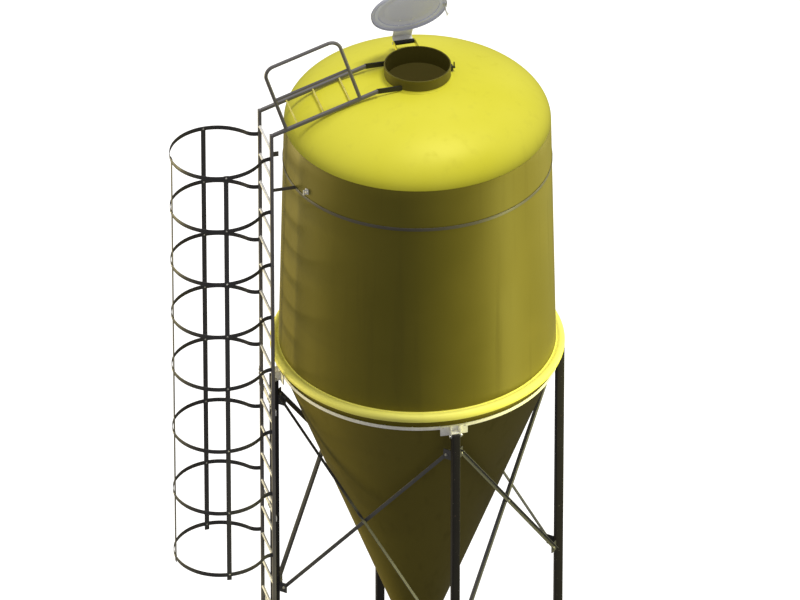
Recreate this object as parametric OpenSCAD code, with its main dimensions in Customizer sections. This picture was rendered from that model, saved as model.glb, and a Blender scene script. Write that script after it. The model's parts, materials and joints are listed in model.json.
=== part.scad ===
// Hopper-bottom silo for collected dust and chips: a moulded barrel with a domed roof and a manhole,
// a conical hopper with a slide gate, four braced legs and a caged ladder.
// The origin is on the silo's axis, on the ground. +Z is up, the ladder is on -X, the lid's hinge on +Y.

/* [Vessel] */
// Height of the barrel's lower edge above the ground
base_z = 4020; // [3600:10:4900]
// Outside radius of the barrel at its lower edge
barrel_r = 1200; // [1000:10:1450]
// How much smaller the radius is at the roof rim
barrel_taper = 60; // [30:5:90]
// Height of the barrel from its lower edge to the roof rim
barrel_h = 2369; // [1900:1:2900]
// Wall of the moulded shells
shell_t = 8; // [5:1:12]
// Rise of the roof above its rim, if it ran on to the axis
dome_h = 450; // [380:1:600]
// Radius of the bulge's section on the rolled bead
bead_r = 39; // [25:1:48]
// Height of the bead's middle above the barrel's lower edge
bead_rise = 121; // [90:1:160]
// Width of the flanges that join the barrel and the hopper
flange_w = 14; // [13:1:20]
// Drop of the band strap's middle below the roof rim
band_drop = 380; // [250:1:900]
// Height of the band strap
band_h = 30; // [20:1:60]
// Thickness of the band strap
band_t = 4; // [3:1:6]

/* [Manhole and lid] */
// Outside radius of the manhole neck
neck_r = 280; // [220:1:330]
// Height of the neck's rim above the roof's top
neck_rise = 105; // [80:1:140]
// Outside radius of the lid
lid_r = 332; // [320:1:380]
// Depth of the lid's turned-down skirt
skirt_h = 22; // [12:1:25]
// Distance from the neck's wall back to the hinge line
hinge_back = 168; // [120:1:200]
// Depth of the hinge line below the neck's rim
hinge_drop = 55; // [40:1:65]
// Angle by which the lid stands open
lid_open = 62; // [0:1:105]
// Width of the hinge strap and its knuckle
strap_w = 172; // [120:1:200]

/* [Hopper and outlet] */
// Half-angle of the hopper's cone
hopper_angle = 20.4; // [18:0.1:24]
// Radius of the outlet
outlet_r = 150; // [120:1:200]
// Length of the spout below the slide gate
spout_h = 120; // [80:5:150]
// Thickness of the gate's blade
blade_t = 6; // [4:1:10]

/* [Legs] */
// Side of the square leg tubes
leg_side = 70; // [60:1:100]
// Wall of the leg tubes
leg_t = 5; // [3:1:8]
// Gap between the support ring and a leg's inner face
leg_gap = 19; // [14:1:30]
// Side of a base plate
foot_side = 200; // [180:5:260]
// Thickness of a base plate
foot_t = 15; // [10:1:25]
// Depth of the upper brace ends below the barrel's lower edge
brace_drop = 252; // [220:1:400]
// Height of the lower brace ends above the ground
brace_low = 1757; // [1000:1:2200]
// Width of the brace angles
brace_w = 32; // [28:1:45]
// Thickness of the brace angles
brace_t = 4; // [3:1:6]

/* [Ladder and cage] */
// Distance between the rails' middles
rail_gap = 410; // [380:1:500]
// Side of the square ladder rails
rail_side = 30; // [25:1:45]
// Thickness of the tie bars between the rails and the leg
tie_t = 10; // [6:1:16]
// Spacing of the rungs
rung_pitch = 280; // [250:1:300]
// Diameter of the rungs
rung_d = 25; // [20:1:28]
// Height of the ladder's top corner above the roof rim
rail_rise = 171; // [150:1:260]
// Radius of the cage hoops, to the middle of the bar
cage_r = 404; // [360:1:450]
// Distance from the rails' middle out to the hoops' centre
cage_reach = 427; // [400:1:480]
// Height of a hoop's flat bar
hoop_h = 40; // [30:1:60]
// Thickness of the hoops and of the cage's straps
hoop_t = 5; // [4:1:8]
// Width of the cage's upright straps
cage_strap_w = 42; // [25:1:50]
// Turn of the two side straps away from the hoops' widest place
side_strap_turn = 3; // [0:1:10]
// Height of the lowest hoop above the ground
cage_low = 2250; // [2100:10:2600]
// Spacing of the lower hoops
hoop_pitch_low = 643; // [550:1:700]
// Drop of the highest hoop below the ladder's top corner
cage_drop = 229; // [150:1:400]

/* [Roof handrail] */
// Diameter of the handrail tube
hand_d = 32; // [26:1:42]
// Length of the handrail's posts
hand_h = 655; // [450:1:750]
// Radius of the handrail's bends, to the middle of the tube
hand_bend = 90; // [60:5:140]
// Distance along the roof rail from the corner to the first post
hand_start = 138; // [120:1:250]
// Distance along the roof rail between the posts
hand_span = 680; // [500:1:720]

/* [Hidden] */
$fn = 96;
legs = 4;
skin = 0.3; // gap between a curved seat and what sits on it
eps = 1; // how far a cut runs past the face it opens
slide_gap = 0.4; // clearance of the sliding blade, above and below
run_gap = 0.05; // clearance of a pin in its bore
hole_gap = 0.5; // clearance of a bolt in its hole

rim_z = base_z + barrel_h;
rim_r = barrel_r - barrel_taper;
roof_z = rim_z + dome_h;
neck_z = roof_z + neck_rise;
neck_t = 6;
neck_dip = 60; // how far the neck runs down from the roof's top line
neck_lip_r = 5;

flange_t = 8;
flange_r = barrel_r + flange_w;
flange_bolts_n = 32;
flange_bolt_r = 4;
ring_t = 8;
ring_r = flange_r + ring_t;
ring_low = base_z - flange_t - ring_t;
ring_high = base_z + flange_t + ring_t;
bead_bite = 3; // how far the bead's circle reaches into the wall
bead_mid = barrel_at(bead_rise) + bead_r - bead_bite;
band_rise = barrel_h - band_drop;
band_z = base_z + band_rise;
band_r = barrel_at(band_rise - band_h / 2) + skin;
lug_angle = 200.5;
lug_w = 42;
lug_h = 46;
lug_t = 8;
lug_hole_r = 9;
lug_rise = 50; // from the band strap's middle to the lug's lower edge

cone_tan = tan(hopper_angle);
cone_h = (barrel_r - outlet_r) / cone_tan;
outlet_z = base_z - cone_h;
gate_side = 2 * outlet_r + 120;
gate_plate_t = 8;
slot_t = blade_t + 2 * slide_gap;
guide_w = 40;
blade_gap = 2; // from the blade's sides and back to the guides
blade_w = gate_side - 2 * guide_w - 2 * blade_gap;
blade_front = 20; // how far the closed blade stands out of the body
gate_top_z = outlet_z - gate_plate_t;
gate_slot_z = gate_top_z - slot_t;
gate_low_z = gate_slot_z - gate_plate_t;
gate_bolt_r = 5;
grip_w = 140;
grip_reach = 60;
grip_r = 9;
grip_swell = 3; // how much thicker the handle's cross bar is than its two posts

leg_r = ring_r + leg_gap + leg_side / 2;
leg_top_drop = 39; // from the barrel's lower edge down to the legs' tops
leg_top = base_z - leg_top_drop;
head_w = 240;
head_drop = 75; // from the barrel's lower edge down to the brackets' lower edge
head_low = base_z - head_drop;
head_plate_t = 10;
head_ear_t = 9;
head_ear_reach = leg_side - 12;
head_bolt_r = 8;
head_bolt_drop = 20;
head_bolt_inset = 25; // from a bracket's end to the bolt into the ring
head_hole_rise = 3; // of that bolt above the barrel's lower edge
anchor_side = foot_side - 60;
anchor_r = 9;
face_len = leg_r * sqrt(2);
gusset_t = 8;
gusset_reach = 82;
gusset_h = 96;
gusset_shift = 26; // from the braces' end level to the gusset's middle
brace_start = leg_side * sqrt(2) / 2 + 16;
brace_bolt_r = 6;
brace_bolt_in = 40; // from a brace's end to its bolt
brace_run = face_len - 2 * brace_start;
brace_fall = base_z - brace_drop - brace_low;
brace_len = sqrt(brace_run * brace_run + brace_fall * brace_fall);
brace_angle = atan(brace_fall / brace_run);
// The inner braces run straight past the round hopper, so they sink when a wide hopper comes too near
brace_clear = 20;
brace_in = face_len / 2 - gusset_t / 2 - brace_w; // from the axis to the inner braces' nearest edge
near_sin = cone_tan * brace_fall / brace_run; // turn from the face's middle to the nearest place
near_r = brace_in * sqrt(1 - near_sin * near_sin) + near_sin * brace_run / 2;
least_drop = (barrel_r + brace_clear - near_r) / cone_tan + brace_w / 2 / cos(brace_angle);
brace_sink = max(0, least_drop - brace_drop);
brace_hi = base_z - brace_drop - brace_sink;
brace_lo = brace_low - brace_sink;

ladder_r = leg_r + leg_side / 2 + tie_t + rail_side / 2;
rail_t = 3;
rail_joint_z = base_z - 170;
rail_foot = 90;
rail_foot_t = 10;
rung_first = 250;
tie_h = 50;
tie_zs = [400, 1500, 2600, base_z - 320];
end_bar_t = 12;
end_bar_h = 46;
end_bar_z = roof_z + 19;
end_bar_len = 126;
end_bar_x = neck_r + end_bar_len;
// The roof rails run straight to the end bars, and their corner rises when a wide dome comes too near:
// they lie on a tangent of the ellipse that the dome shows in the plane of their inner sides
rail_y = rail_gap / 2;
roof_clear = 5;
side_y = rail_y - rail_side / 2;
side_r = sqrt(rim_r * rim_r - side_y * side_y);
side_h = dome_h * side_r / rim_r;
under_z = end_bar_z - rim_z - 0.55 * rail_side - roof_clear; // the rails' underside at the end bars
tangent_a = side_r * side_r - end_bar_x * end_bar_x;
tangent_b = under_z * end_bar_x;
tangent_c = under_z * under_z - side_h * side_h;
steepest = (tangent_b + sqrt(tangent_b * tangent_b + tangent_a * tangent_c)) / tangent_a;
rail_top = max(rim_z + rail_rise, end_bar_z - steepest * (ladder_r - end_bar_x));
roof_slope = atan((end_bar_z - rail_top) / (ladder_r - end_bar_x));
roof_rail_h = rail_side / cos(roof_slope);
rungs_n = floor((rail_top - rail_side - rung_first) / rung_pitch) + 1;
roof_rung_d = 16;
roof_rungs_n = 3;
standoff_t = 8;
rail_lug = 46;

cage_x = ladder_r + cage_reach;
cage_out = cage_reach - rail_side / 2;
// The hoop's reverse bend meets the big arc and the rail without a corner
cage_bend_r = (cage_out * cage_out + rail_y * rail_y - cage_r * cage_r) / (2 * (cage_r - rail_y));
cage_mouth = atan((rail_y + cage_bend_r) / cage_out);
low_hoops = 3;
high_hoops = 5;
first_high_hoop = cage_low + low_hoops * hoop_pitch_low;
hoop_pitch_high = (rail_top - cage_drop - first_high_hoop) / (high_hoops - 1);
hoops = [
    for (i = [0:low_hoops - 1]) cage_low + i * hoop_pitch_low,
    for (i = [0:high_hoops - 1]) first_high_hoop + i * hoop_pitch_high
];
cage_strap_low = cage_low - 60;
cage_strap_high = hoops[len(hoops) - 1] + hoop_h / 2;
strap_seat = sqrt(pow(cage_r - hoop_t / 2, 2) - pow(cage_strap_w / 2, 2)) - skin / 2;

hinge_y = neck_r + hinge_back;
hinge_z = neck_z - hinge_drop;
knuckle_r = 20;
pin_r = 8;
arm_t = 8;
arm_h = 40;
arm_gap = 3; // from the knuckle's end to an arm
arm_x = strap_w / 2 + arm_gap + arm_t / 2;
lid_t = 5;
lid_gap = 2; // from the neck's rim to the gasket
gasket_t = 8;
gasket_w = 30;
lid_z = neck_z + lid_gap + gasket_t;
strap_t = 6;
hasp_w = 40;
hasp_t = 4;
hasp_x = neck_r + 33;
hasp_low = neck_z - 112;
catch_w = 40;
catch_h = 44;
catch_z = neck_z - 86;
catch_gap = 1; // from the catch's block to the hasp, and from the lever to the stud
catch_out = hasp_x - hasp_t / 2 - catch_gap;
catch_pin_r = 6;
lever_x = hasp_x + hasp_t / 2 + 3;
lever_t = 8;
lever_w = 16;
lever_rim = 2; // how much wider than the lever its round end is
lever_len = 50;
stud_r = 6;
stud_y = 30;
fork_w = 20;
stud_z = catch_z - lever_w / 2 - stud_r - catch_gap;

yellow = [0.89, 0.86, 0.23];
olive = [0.33, 0.3, 0.12];
dark_steel = [0.15, 0.14, 0.15];
grey_steel = [0.35, 0.35, 0.36];
zinc = [0.72, 0.71, 0.67];
lid_grey = [0.6, 0.6, 0.61];
rubber = [0.1, 0.1, 0.1];

// Outside radius of the barrel at a height above its lower edge
function barrel_at(rise) = barrel_r - barrel_taper * rise / barrel_h;

// Outline of a quarter of an ellipse, from the rim to the axis
function dome_line(r, h, steps) = [for (i = [0:steps]) [r * cos(90 * i / steps), h * sin(90 * i / steps)]];

module at_legs() {
    for (i = [0:legs - 1])
        rotate([0, 0, i * 360 / legs]) children();
}

module tube(r_out, r_in, h) {
    difference() {
        cylinder(r = r_out, h = h);
        translate([0, 0, -eps]) cylinder(r = r_in, h = h + 2 * eps);
    }
}

// A hex bolt with its nut, along +Z from the underside of its head at the origin
module bolt(r, grip) {
    head_r = 1.9 * r;
    head_h = 1.2 * r;
    translate([0, 0, -head_h]) cylinder(r = head_r, h = head_h, $fn = 6);
    cylinder(r = r, h = grip + 2 * head_h);
    translate([0, 0, grip]) cylinder(r = head_r, h = 1.5 * r, $fn = 6);
}

// A flat bar bent to part of a circle
module arc_bar(r, t, h, from, to) {
    rotate([0, 0, from])
        rotate_extrude(angle = to - from, $fn = 128)
            translate([r - t / 2, 0]) square([t, h]);
}

// ---- Vessel ----

module barrel() {
    color(yellow) difference() {
        union() {
            translate([0, 0, base_z]) cylinder(r1 = barrel_r, r2 = rim_r, h = barrel_h, $fn = 128);
            translate([0, 0, base_z]) cylinder(r = flange_r - skin, h = flange_t, $fn = 128);
        }
        translate([0, 0, base_z]) barrel_bore();
        translate([0, 0, base_z - eps]) flange_holes(2 * flange_t);
    }
}

module barrel_bore() {
    slope = barrel_taper / barrel_h;
    low_r = barrel_r - shell_t + slope * eps;
    high_r = rim_r - shell_t - slope * eps;
    translate([0, 0, -eps]) cylinder(r1 = low_r, r2 = high_r, h = barrel_h + 2 * eps, $fn = 128);
}

module flange_holes(h) {
    for (i = [0:flange_bolts_n - 1])
        rotate([0, 0, (i + 0.5) * 360 / flange_bolts_n])
            translate([barrel_r + flange_w / 2, 0, 0])
                cylinder(r = flange_bolt_r + hole_gap, h = h, $fn = 24);
}

module roof_dome() {
    outer = dome_line(rim_r, dome_h, 22);
    inner = dome_line(rim_r - shell_t, dome_h - shell_t, 22);
    color(yellow) translate([0, 0, rim_z]) difference() {
        rotate_extrude($fn = 128) polygon(concat(outer, [for (i = [len(inner) - 1:-1:0]) inner[i]]));
        translate([0, 0, dome_h / 2]) cylinder(r = neck_r + skin, h = dome_h);
    }
}

module hopper_cone() {
    wall = shell_t / cos(hopper_angle);
    color(olive) difference() {
        union() {
            translate([0, 0, outlet_z])
                cylinder(r1 = outlet_r + wall, r2 = barrel_r, h = cone_h - eps, $fn = 128);
            translate([0, 0, base_z - flange_t])
                cylinder(r = flange_r - skin, h = flange_t, $fn = 128);
        }
        translate([0, 0, outlet_z]) hopper_bore(wall);
        translate([0, 0, base_z - flange_t - eps]) flange_holes(2 * flange_t);
    }
}

module hopper_bore(wall) {
    low_r = outlet_r - cone_tan * eps;
    high_r = barrel_r - wall + cone_tan * eps;
    translate([0, 0, -eps]) cylinder(r1 = low_r, r2 = high_r, h = cone_h + 2 * eps, $fn = 128);
}

module manhole_neck() {
    neck_low = roof_z - neck_dip;
    color(yellow) {
        translate([0, 0, neck_low]) tube(neck_r, neck_r - neck_t, neck_z - neck_low - neck_lip_r);
        translate([0, 0, neck_z - neck_lip_r]) rotate_extrude()
            translate([neck_r - neck_t + neck_lip_r, 0]) circle(r = neck_lip_r, $fn = 32);
    }
}

module rolled_bead() {
    color(yellow) translate([0, 0, base_z + bead_rise]) difference() {
        rotate_extrude($fn = 128) translate([bead_mid, 0]) difference() {
            circle(r = bead_r, $fn = 48);
            circle(r = bead_r - shell_t, $fn = 48);
        }
        translate([0, 0, -bead_rise]) cylinder(
            r1 = barrel_r + skin, r2 = rim_r + skin, h = barrel_h, $fn = 128);
    }
}

module support_ring() {
    color(zinc) difference() {
        union() {
            translate([0, 0, ring_low]) tube(ring_r, flange_r, ring_high - ring_low, $fn = 128);
            translate([0, 0, ring_low]) tube(flange_r + eps, barrel_r + skin, ring_t, $fn = 128);
        }
        translate([0, 0, ring_low - eps]) flange_holes(2 * ring_t);
        at_legs() head_ring_holes();
    }
}

module flange_bolts() {
    grip = 2 * flange_t + ring_t;
    color(zinc) for (i = [0:flange_bolts_n - 1])
        rotate([0, 0, (i + 0.5) * 360 / flange_bolts_n])
            translate([barrel_r + flange_w / 2, 0, base_z + flange_t]) mirror([0, 0, 1])
                flange_bolt(grip);
}

module flange_bolt(grip) {
    head_r = flange_w / 2 - 0.5;
    translate([0, 0, -flange_bolt_r]) cylinder(r = head_r, h = flange_bolt_r, $fn = 6);
    cylinder(r = flange_bolt_r, h = grip + 2 * flange_bolt_r, $fn = 24);
    translate([0, 0, grip]) cylinder(r = head_r, h = 1.5 * flange_bolt_r, $fn = 6);
}

module band_strap() {
    ear = 30;
    gap = 10; // between the two ears
    bolt_r = 5;
    bolt_len = 28;
    color(dark_steel) translate([0, 0, band_z - band_h / 2]) {
        difference() {
            union() {
                tube(band_r + band_t, band_r, band_h, $fn = 128);
                for (side = [-1, 1])
                    translate([0, side * (band_t + gap / 2), 0])
                        translate([band_r + eps, -band_t / 2, 0]) cube([band_t + ear, band_t, band_h]);
            }
            translate([band_r - eps, -gap / 2, -eps]) cube([ear, gap, band_h + 2 * eps]);
        }
        translate([band_r + ear / 2, bolt_len / 2, band_h / 2]) rotate([90, 0, 0])
            cylinder(r = bolt_r, h = bolt_len, $fn = 24);
    }
}

module lifting_lugs() {
    wall_r = barrel_at(band_rise + lug_rise) + skin;
    lean = atan(barrel_taper / barrel_h);
    color(zinc) for (turn = [0, 180]) rotate([0, 0, lug_angle + turn])
        translate([wall_r, 0, band_z + lug_rise]) rotate([0, -lean, 0]) difference() {
            union() {
                translate([0, -lug_w / 2, 0]) cube([lug_t, lug_w, lug_h]);
                translate([0, -lug_t / 2, 0]) cube([lug_w, lug_t, lug_h]);
            }
            translate([lug_w - 2 * lug_hole_r, lug_w, lug_h / 2]) rotate([90, 0, 0])
                cylinder(r = lug_hole_r, h = 2 * lug_w, $fn = 32);
            mirror([1, 0, 0]) translate([0, -lug_w, -lug_h]) cube([lug_w, 2 * lug_w, 3 * lug_h]);
        }
}

// ---- Legs and braces ----

module leg_tube() {
    color(dark_steel) translate([leg_r - leg_side / 2, -leg_side / 2, foot_t]) difference() {
        cube([leg_side, leg_side, leg_top - foot_t]);
        translate([leg_t, leg_t, -eps])
            cube([leg_side - 2 * leg_t, leg_side - 2 * leg_t, leg_top - foot_t + 2 * eps]);
        translate([leg_side / 2, -eps, leg_top - head_bolt_drop - foot_t]) rotate([-90, 0, 0])
            cylinder(r = head_bolt_r + hole_gap, h = leg_side + 2 * eps, $fn = 32);
    }
}

module leg_right() { leg_tube(); }
module leg_back() { rotate([0, 0, 90]) leg_tube(); }
module leg_left() { rotate([0, 0, 180]) leg_tube(); }
module leg_front() { rotate([0, 0, 270]) leg_tube(); }

module base_plates() {
    color(grey_steel) at_legs() translate([leg_r, 0, 0]) difference() {
        translate([-foot_side / 2, -foot_side / 2, 0]) cube([foot_side, foot_side, foot_t]);
        for (x = [-1, 1], y = [-1, 1])
            translate([x * anchor_side / 2, y * anchor_side / 2, -eps])
                cylinder(r = anchor_r, h = foot_t + 2 * eps, $fn = 32);
    }
}

module head_ring_holes() {
    for (side = [-1, 1])
        rotate([0, 0, side * head_bolt_turn()])
            translate([ring_r - 2 * ring_t, 0, base_z + head_hole_rise]) rotate([0, 90, 0])
                cylinder(r = brace_bolt_r + hole_gap, h = 4 * ring_t, $fn = 24);
}

function head_bolt_turn() = asin((head_w / 2 - head_bolt_inset) / ring_r);

module leg_head_brackets() {
    half = asin(head_w / 2 / ring_r);
    plate_r = ring_r + skin + head_plate_t / 2;
    head_h = ring_high - head_low;
    color(zinc) at_legs() difference() {
        union() {
            translate([0, 0, head_low]) arc_bar(plate_r, head_plate_t, head_h, -half, half);
            for (ear_y = [-leg_side / 2 - head_ear_t, leg_side / 2])
                translate([ring_r + head_plate_t / 2, ear_y, head_low])
                    cube([head_ear_reach, head_ear_t, head_h]);
            translate([ring_r + head_plate_t / 2, -leg_side / 2 - eps, leg_top])
                cube([head_ear_reach, leg_side + 2 * eps, head_ear_t]);
        }
        head_ring_holes();
        translate([leg_r, -leg_side, leg_top - head_bolt_drop]) rotate([-90, 0, 0])
            cylinder(r = head_bolt_r + hole_gap, h = 2 * leg_side, $fn = 32);
        translate([leg_r - leg_side / 2, -leg_side / 2, 0]) cube([leg_side, leg_side, leg_top]);
    }
}

module head_bolts() {
    color(zinc) at_legs()
        translate([leg_r, -leg_side / 2 - head_ear_t, leg_top - head_bolt_drop]) rotate([-90, 0, 0])
            bolt(head_bolt_r, leg_side + 2 * head_ear_t);
}

// Puts what is drawn along +X, with +Y outwards, on the face that follows leg i
module on_face(i) {
    rotate([0, 0, 180 + i * 360 / legs])
        translate([leg_r, 0, 0]) rotate([0, 0, 135]) mirror([0, 1, 0]) children();
}

module gusset(near, level) {
    x0 = near ? leg_side / 2 : face_len - leg_side / 2 - gusset_reach;
    translate([x0, -gusset_t / 2, level - gusset_h / 2]) cube([gusset_reach, gusset_t, gusset_h]);
}

module leg_prisms() {
    for (x = [0, face_len])
        translate([x, 0, 0]) rotate([0, 0, 45]) translate([-leg_side / 2, -leg_side / 2, 0])
            cube([leg_side, leg_side, base_z]);
}

module brace_gussets() {
    color(grey_steel) for (i = [0:legs - 1]) on_face(i)
        for (near = [true, false], high = [true, false]) difference() {
            gusset(near, high ? brace_hi - gusset_shift : brace_lo + gusset_shift);
            leg_prisms();
            brace_holes(true);
            brace_holes(false);
        }
}

// The bolt places of a brace that falls away from the near leg, or of its mirror
module brace_spots(falls) {
    for (along = [brace_bolt_in, brace_len - brace_bolt_in])
        brace_frame(falls) translate([along, 0, 0]) rotate([-90, 0, 0]) children();
}

module brace_frame(falls) {
    if (falls)
        translate([brace_start, 0, brace_hi]) rotate([0, brace_angle, 0]) children();
    else
        translate([face_len - brace_start, 0, brace_hi]) mirror([1, 0, 0])
            rotate([0, brace_angle, 0]) children();
}

module brace_holes(falls) {
    brace_spots(falls) translate([0, 0, -brace_w])
        cylinder(r = brace_bolt_r + hole_gap, h = 2 * brace_w, $fn = 24);
}

module brace(i, outer) {
    side = outer ? 1 : -1;
    color(outer ? grey_steel : dark_steel) on_face(i) difference() {
        brace_frame(outer) scale_side(side) translate([0, gusset_t / 2, -brace_w / 2]) {
            cube([brace_len, brace_t, brace_w]);
            translate([0, 0, brace_w - brace_t]) cube([brace_len, brace_w, brace_t]);
        }
        brace_holes(outer);
        brace_cross_spot() cylinder(r = brace_bolt_r + hole_gap, h = 2 * brace_w, center = true, $fn = 24);
    }
}

module scale_side(side) {
    if (side > 0) children();
    else mirror([0, 1, 0]) children();
}

module brace_cross_spot() {
    translate([face_len / 2, 0, (brace_hi + brace_lo) / 2]) rotate([-90, 0, 0]) children();
}

module brace_bolts() {
    head = gusset_t / 2 + brace_t;
    color(zinc) for (i = [0:legs - 1]) on_face(i) {
        brace_spots(true) translate([0, 0, head]) mirror([0, 0, 1]) bolt(brace_bolt_r, brace_t + gusset_t);
        brace_spots(false) translate([0, 0, -head]) bolt(brace_bolt_r, brace_t + gusset_t);
        brace_cross_spot() {
            translate([0, 0, -head]) bolt(brace_bolt_r, 2 * head);
            cylinder(r = 1.6 * brace_bolt_r, h = gusset_t, center = true, $fn = 32);
        }
    }
}

module brace_front_left_outer() { brace(0, true); }
module brace_front_left_inner() { brace(0, false); }
module brace_front_right_outer() { brace(1, true); }
module brace_front_right_inner() { brace(1, false); }
module brace_back_right_outer() { brace(2, true); }
module brace_back_right_inner() { brace(2, false); }
module brace_back_left_outer() { brace(3, true); }
module brace_back_left_inner() { brace(3, false); }

// ---- Ladder ----

module at_rails() {
    for (side = [-1, 1])
        translate([-ladder_r, side * rail_y, 0]) children();
}

module rail(low, high) {
    difference() {
        translate([-rail_side / 2, -rail_side / 2, low]) cube([rail_side, rail_side, high - low]);
        translate([-rail_side / 2 + rail_t, -rail_side / 2 + rail_t, low - eps])
            cube([rail_side - 2 * rail_t, rail_side - 2 * rail_t, high - low - rail_t + eps]);
    }
}

module ladder_rails_lower() {
    color(dark_steel) at_rails() {
        rail(rail_foot_t, rail_joint_z);
        translate([-rail_foot / 2, -rail_foot / 2, 0]) cube([rail_foot, rail_foot, rail_foot_t]);
    }
}

module ladder_rails_upper() {
    color(dark_steel) at_rails() rail(rail_joint_z, rail_top + roof_rail_h / 2);
}

module ladder_rungs() {
    color(zinc) for (i = [0:rungs_n - 1])
        translate([-ladder_r, rail_y - rail_side / 2, rung_first + i * rung_pitch]) rotate([90, 0, 0])
            cylinder(r = rung_d / 2, h = rail_gap - rail_side, $fn = 32);
}

module ladder_ties() {
    color(zinc) for (z = tie_zs)
        translate([-ladder_r + rail_side / 2, -rail_y - rail_side / 2, z])
            cube([tie_t, rail_gap + rail_side, tie_h]);
}

// A bar from the front rail to the band strap, and a short lug on the same rail beside the top hoop
module ladder_standoffs() {
    color(dark_steel) {
        difference() {
            translate([-ladder_r + rail_side / 2, -rail_y - standoff_t / 2, band_z - band_h / 2])
                cube([ladder_r / 2, standoff_t, band_h]);
            translate([0, 0, band_z - band_h])
                cylinder(r = band_r + band_t + skin, h = 2 * band_h, $fn = 128);
        }
        translate([-ladder_r + rail_side / 2, -rail_y - standoff_t / 2, hoops[len(hoops) - 1] + hoop_h / 2])
            cube([rail_lug, standoff_t, rail_lug]);
    }
}

// Side view of one roof rail, inset all round except at its open ends
module roof_rail_side(inset) {
    x0 = -ladder_r + rail_side / 2;
    x1 = -end_bar_x;
    over = inset > 0 ? eps : 0;
    z0 = rail_top + (rail_side / 2 - over) * tan(roof_slope);
    z1 = end_bar_z + over * tan(roof_slope);
    half = roof_rail_h / 2 - inset / cos(roof_slope);
    polygon([[x0 - over, z0 - half], [x1 + over, z1 - half], [x1 + over, z1 + half], [x0 - over, z0 + half]]);
}

module roof_rails() {
    color(dark_steel) for (side = [-1, 1]) translate([0, side * rail_y, 0]) rotate([90, 0, 0])
        difference() {
            translate([0, 0, -rail_side / 2]) linear_extrude(rail_side) roof_rail_side(0);
            translate([0, 0, -rail_side / 2 + rail_t])
                linear_extrude(rail_side - 2 * rail_t) roof_rail_side(rail_t);
        }
}

// Puts what follows on the roof rail's middle line, at a distance from its lower corner
module along_roof(d) {
    translate([-ladder_r + d * cos(roof_slope), 0, rail_top + d * sin(roof_slope)]) children();
}

module roof_rungs() {
    roof_len = (ladder_r - end_bar_x) / cos(roof_slope);
    color(zinc) for (i = [1:roof_rungs_n])
        along_roof(i * roof_len / (roof_rungs_n + 1)) translate([0, rail_y - rail_side / 2, 0])
            rotate([90, 0, 0]) cylinder(r = roof_rung_d / 2, h = rail_gap - rail_side, $fn = 32);
}

module roof_end_bars() {
    color(dark_steel) difference() {
        for (side = [-1, 1])
            translate([-end_bar_x, side * rail_y - end_bar_t / 2, end_bar_z - end_bar_h / 2])
                cube([end_bar_x, end_bar_t, end_bar_h]);
        translate([0, 0, roof_z - neck_dip]) cylinder(r = neck_r + skin, h = neck_rise + neck_dip);
        translate([-rail_y / 2, -neck_r, end_bar_z - end_bar_h]) cube([neck_r, 2 * neck_r, 2 * end_bar_h]);
    }
}

// The handrail's own frame: +X along the roof rail, +Z away from it, at the first post's foot
module rail_frame() {
    along_roof(hand_start) rotate([0, -roof_slope, 0]) children();
}

// A post's bend, from the post's top at the origin, towards +X
module hand_elbow() {
    translate([hand_bend, 0, 0]) rotate([90, 0, 0]) rotate([0, 0, 90])
        rotate_extrude(angle = 90) translate([hand_bend, 0]) circle(r = hand_d / 2, $fn = 32);
}

module handrail() {
    foot = roof_rail_h / 2 * cos(roof_slope) + skin;
    post = hand_h - hand_bend;
    mid_r = hand_d / 2 - 3;
    color(grey_steel) translate([0, -rail_y, 0]) rail_frame() {
        for (side = [0, 1]) translate([side * hand_span, 0, 0]) mirror([side, 0, 0]) {
            translate([0, 0, foot]) cylinder(r = hand_d / 2, h = post - foot, $fn = 32);
            translate([0, 0, post]) hand_elbow();
        }
        translate([hand_bend, 0, hand_h]) rotate([0, 90, 0])
            cylinder(r = hand_d / 2, h = hand_span - 2 * hand_bend, $fn = 32);
        translate([0, 0, hand_h / 2]) rotate([0, 90, 0])
            cylinder(r = mid_r, h = hand_span, $fn = 32);
    }
}

// ---- Cage ----

// The reverse bends are a little thinner and lower than the arc, and end a short way inside it
module cage_hoop(n) {
    turn = 90 - cage_mouth;
    lap = 2;
    color(grey_steel) translate([-cage_x, 0, hoops[n - 1] - hoop_h / 2]) {
        arc_bar(cage_r, hoop_t, hoop_h, cage_mouth, 360 - cage_mouth);
        for (side = [0, 1]) mirror([0, side, 0])
            translate([cage_out, rail_y + cage_bend_r, skin / 2])
                arc_bar(cage_bend_r, hoop_t - skin, hoop_h - skin, 270 - turn - lap, 270);
    }
}

module cage_hoop_1() { cage_hoop(1); }
module cage_hoop_2() { cage_hoop(2); }
module cage_hoop_3() { cage_hoop(3); }
module cage_hoop_4() { cage_hoop(4); }
module cage_hoop_5() { cage_hoop(5); }
module cage_hoop_6() { cage_hoop(6); }
module cage_hoop_7() { cage_hoop(7); }
module cage_hoop_8() { cage_hoop(8); }

module cage_strap(turn) {
    color(grey_steel) translate([-cage_x, 0, cage_strap_low]) rotate([0, 0, turn])
        translate([strap_seat - hoop_t, -cage_strap_w / 2, 0])
            cube([hoop_t, cage_strap_w, cage_strap_high - cage_strap_low]);
}

module cage_strap_front() { cage_strap(270 - side_strap_turn); }
module cage_strap_outer() { cage_strap(180); }
module cage_strap_back() { cage_strap(90 + side_strap_turn); }

// ---- Manhole lid, hinge and catch ----

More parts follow.
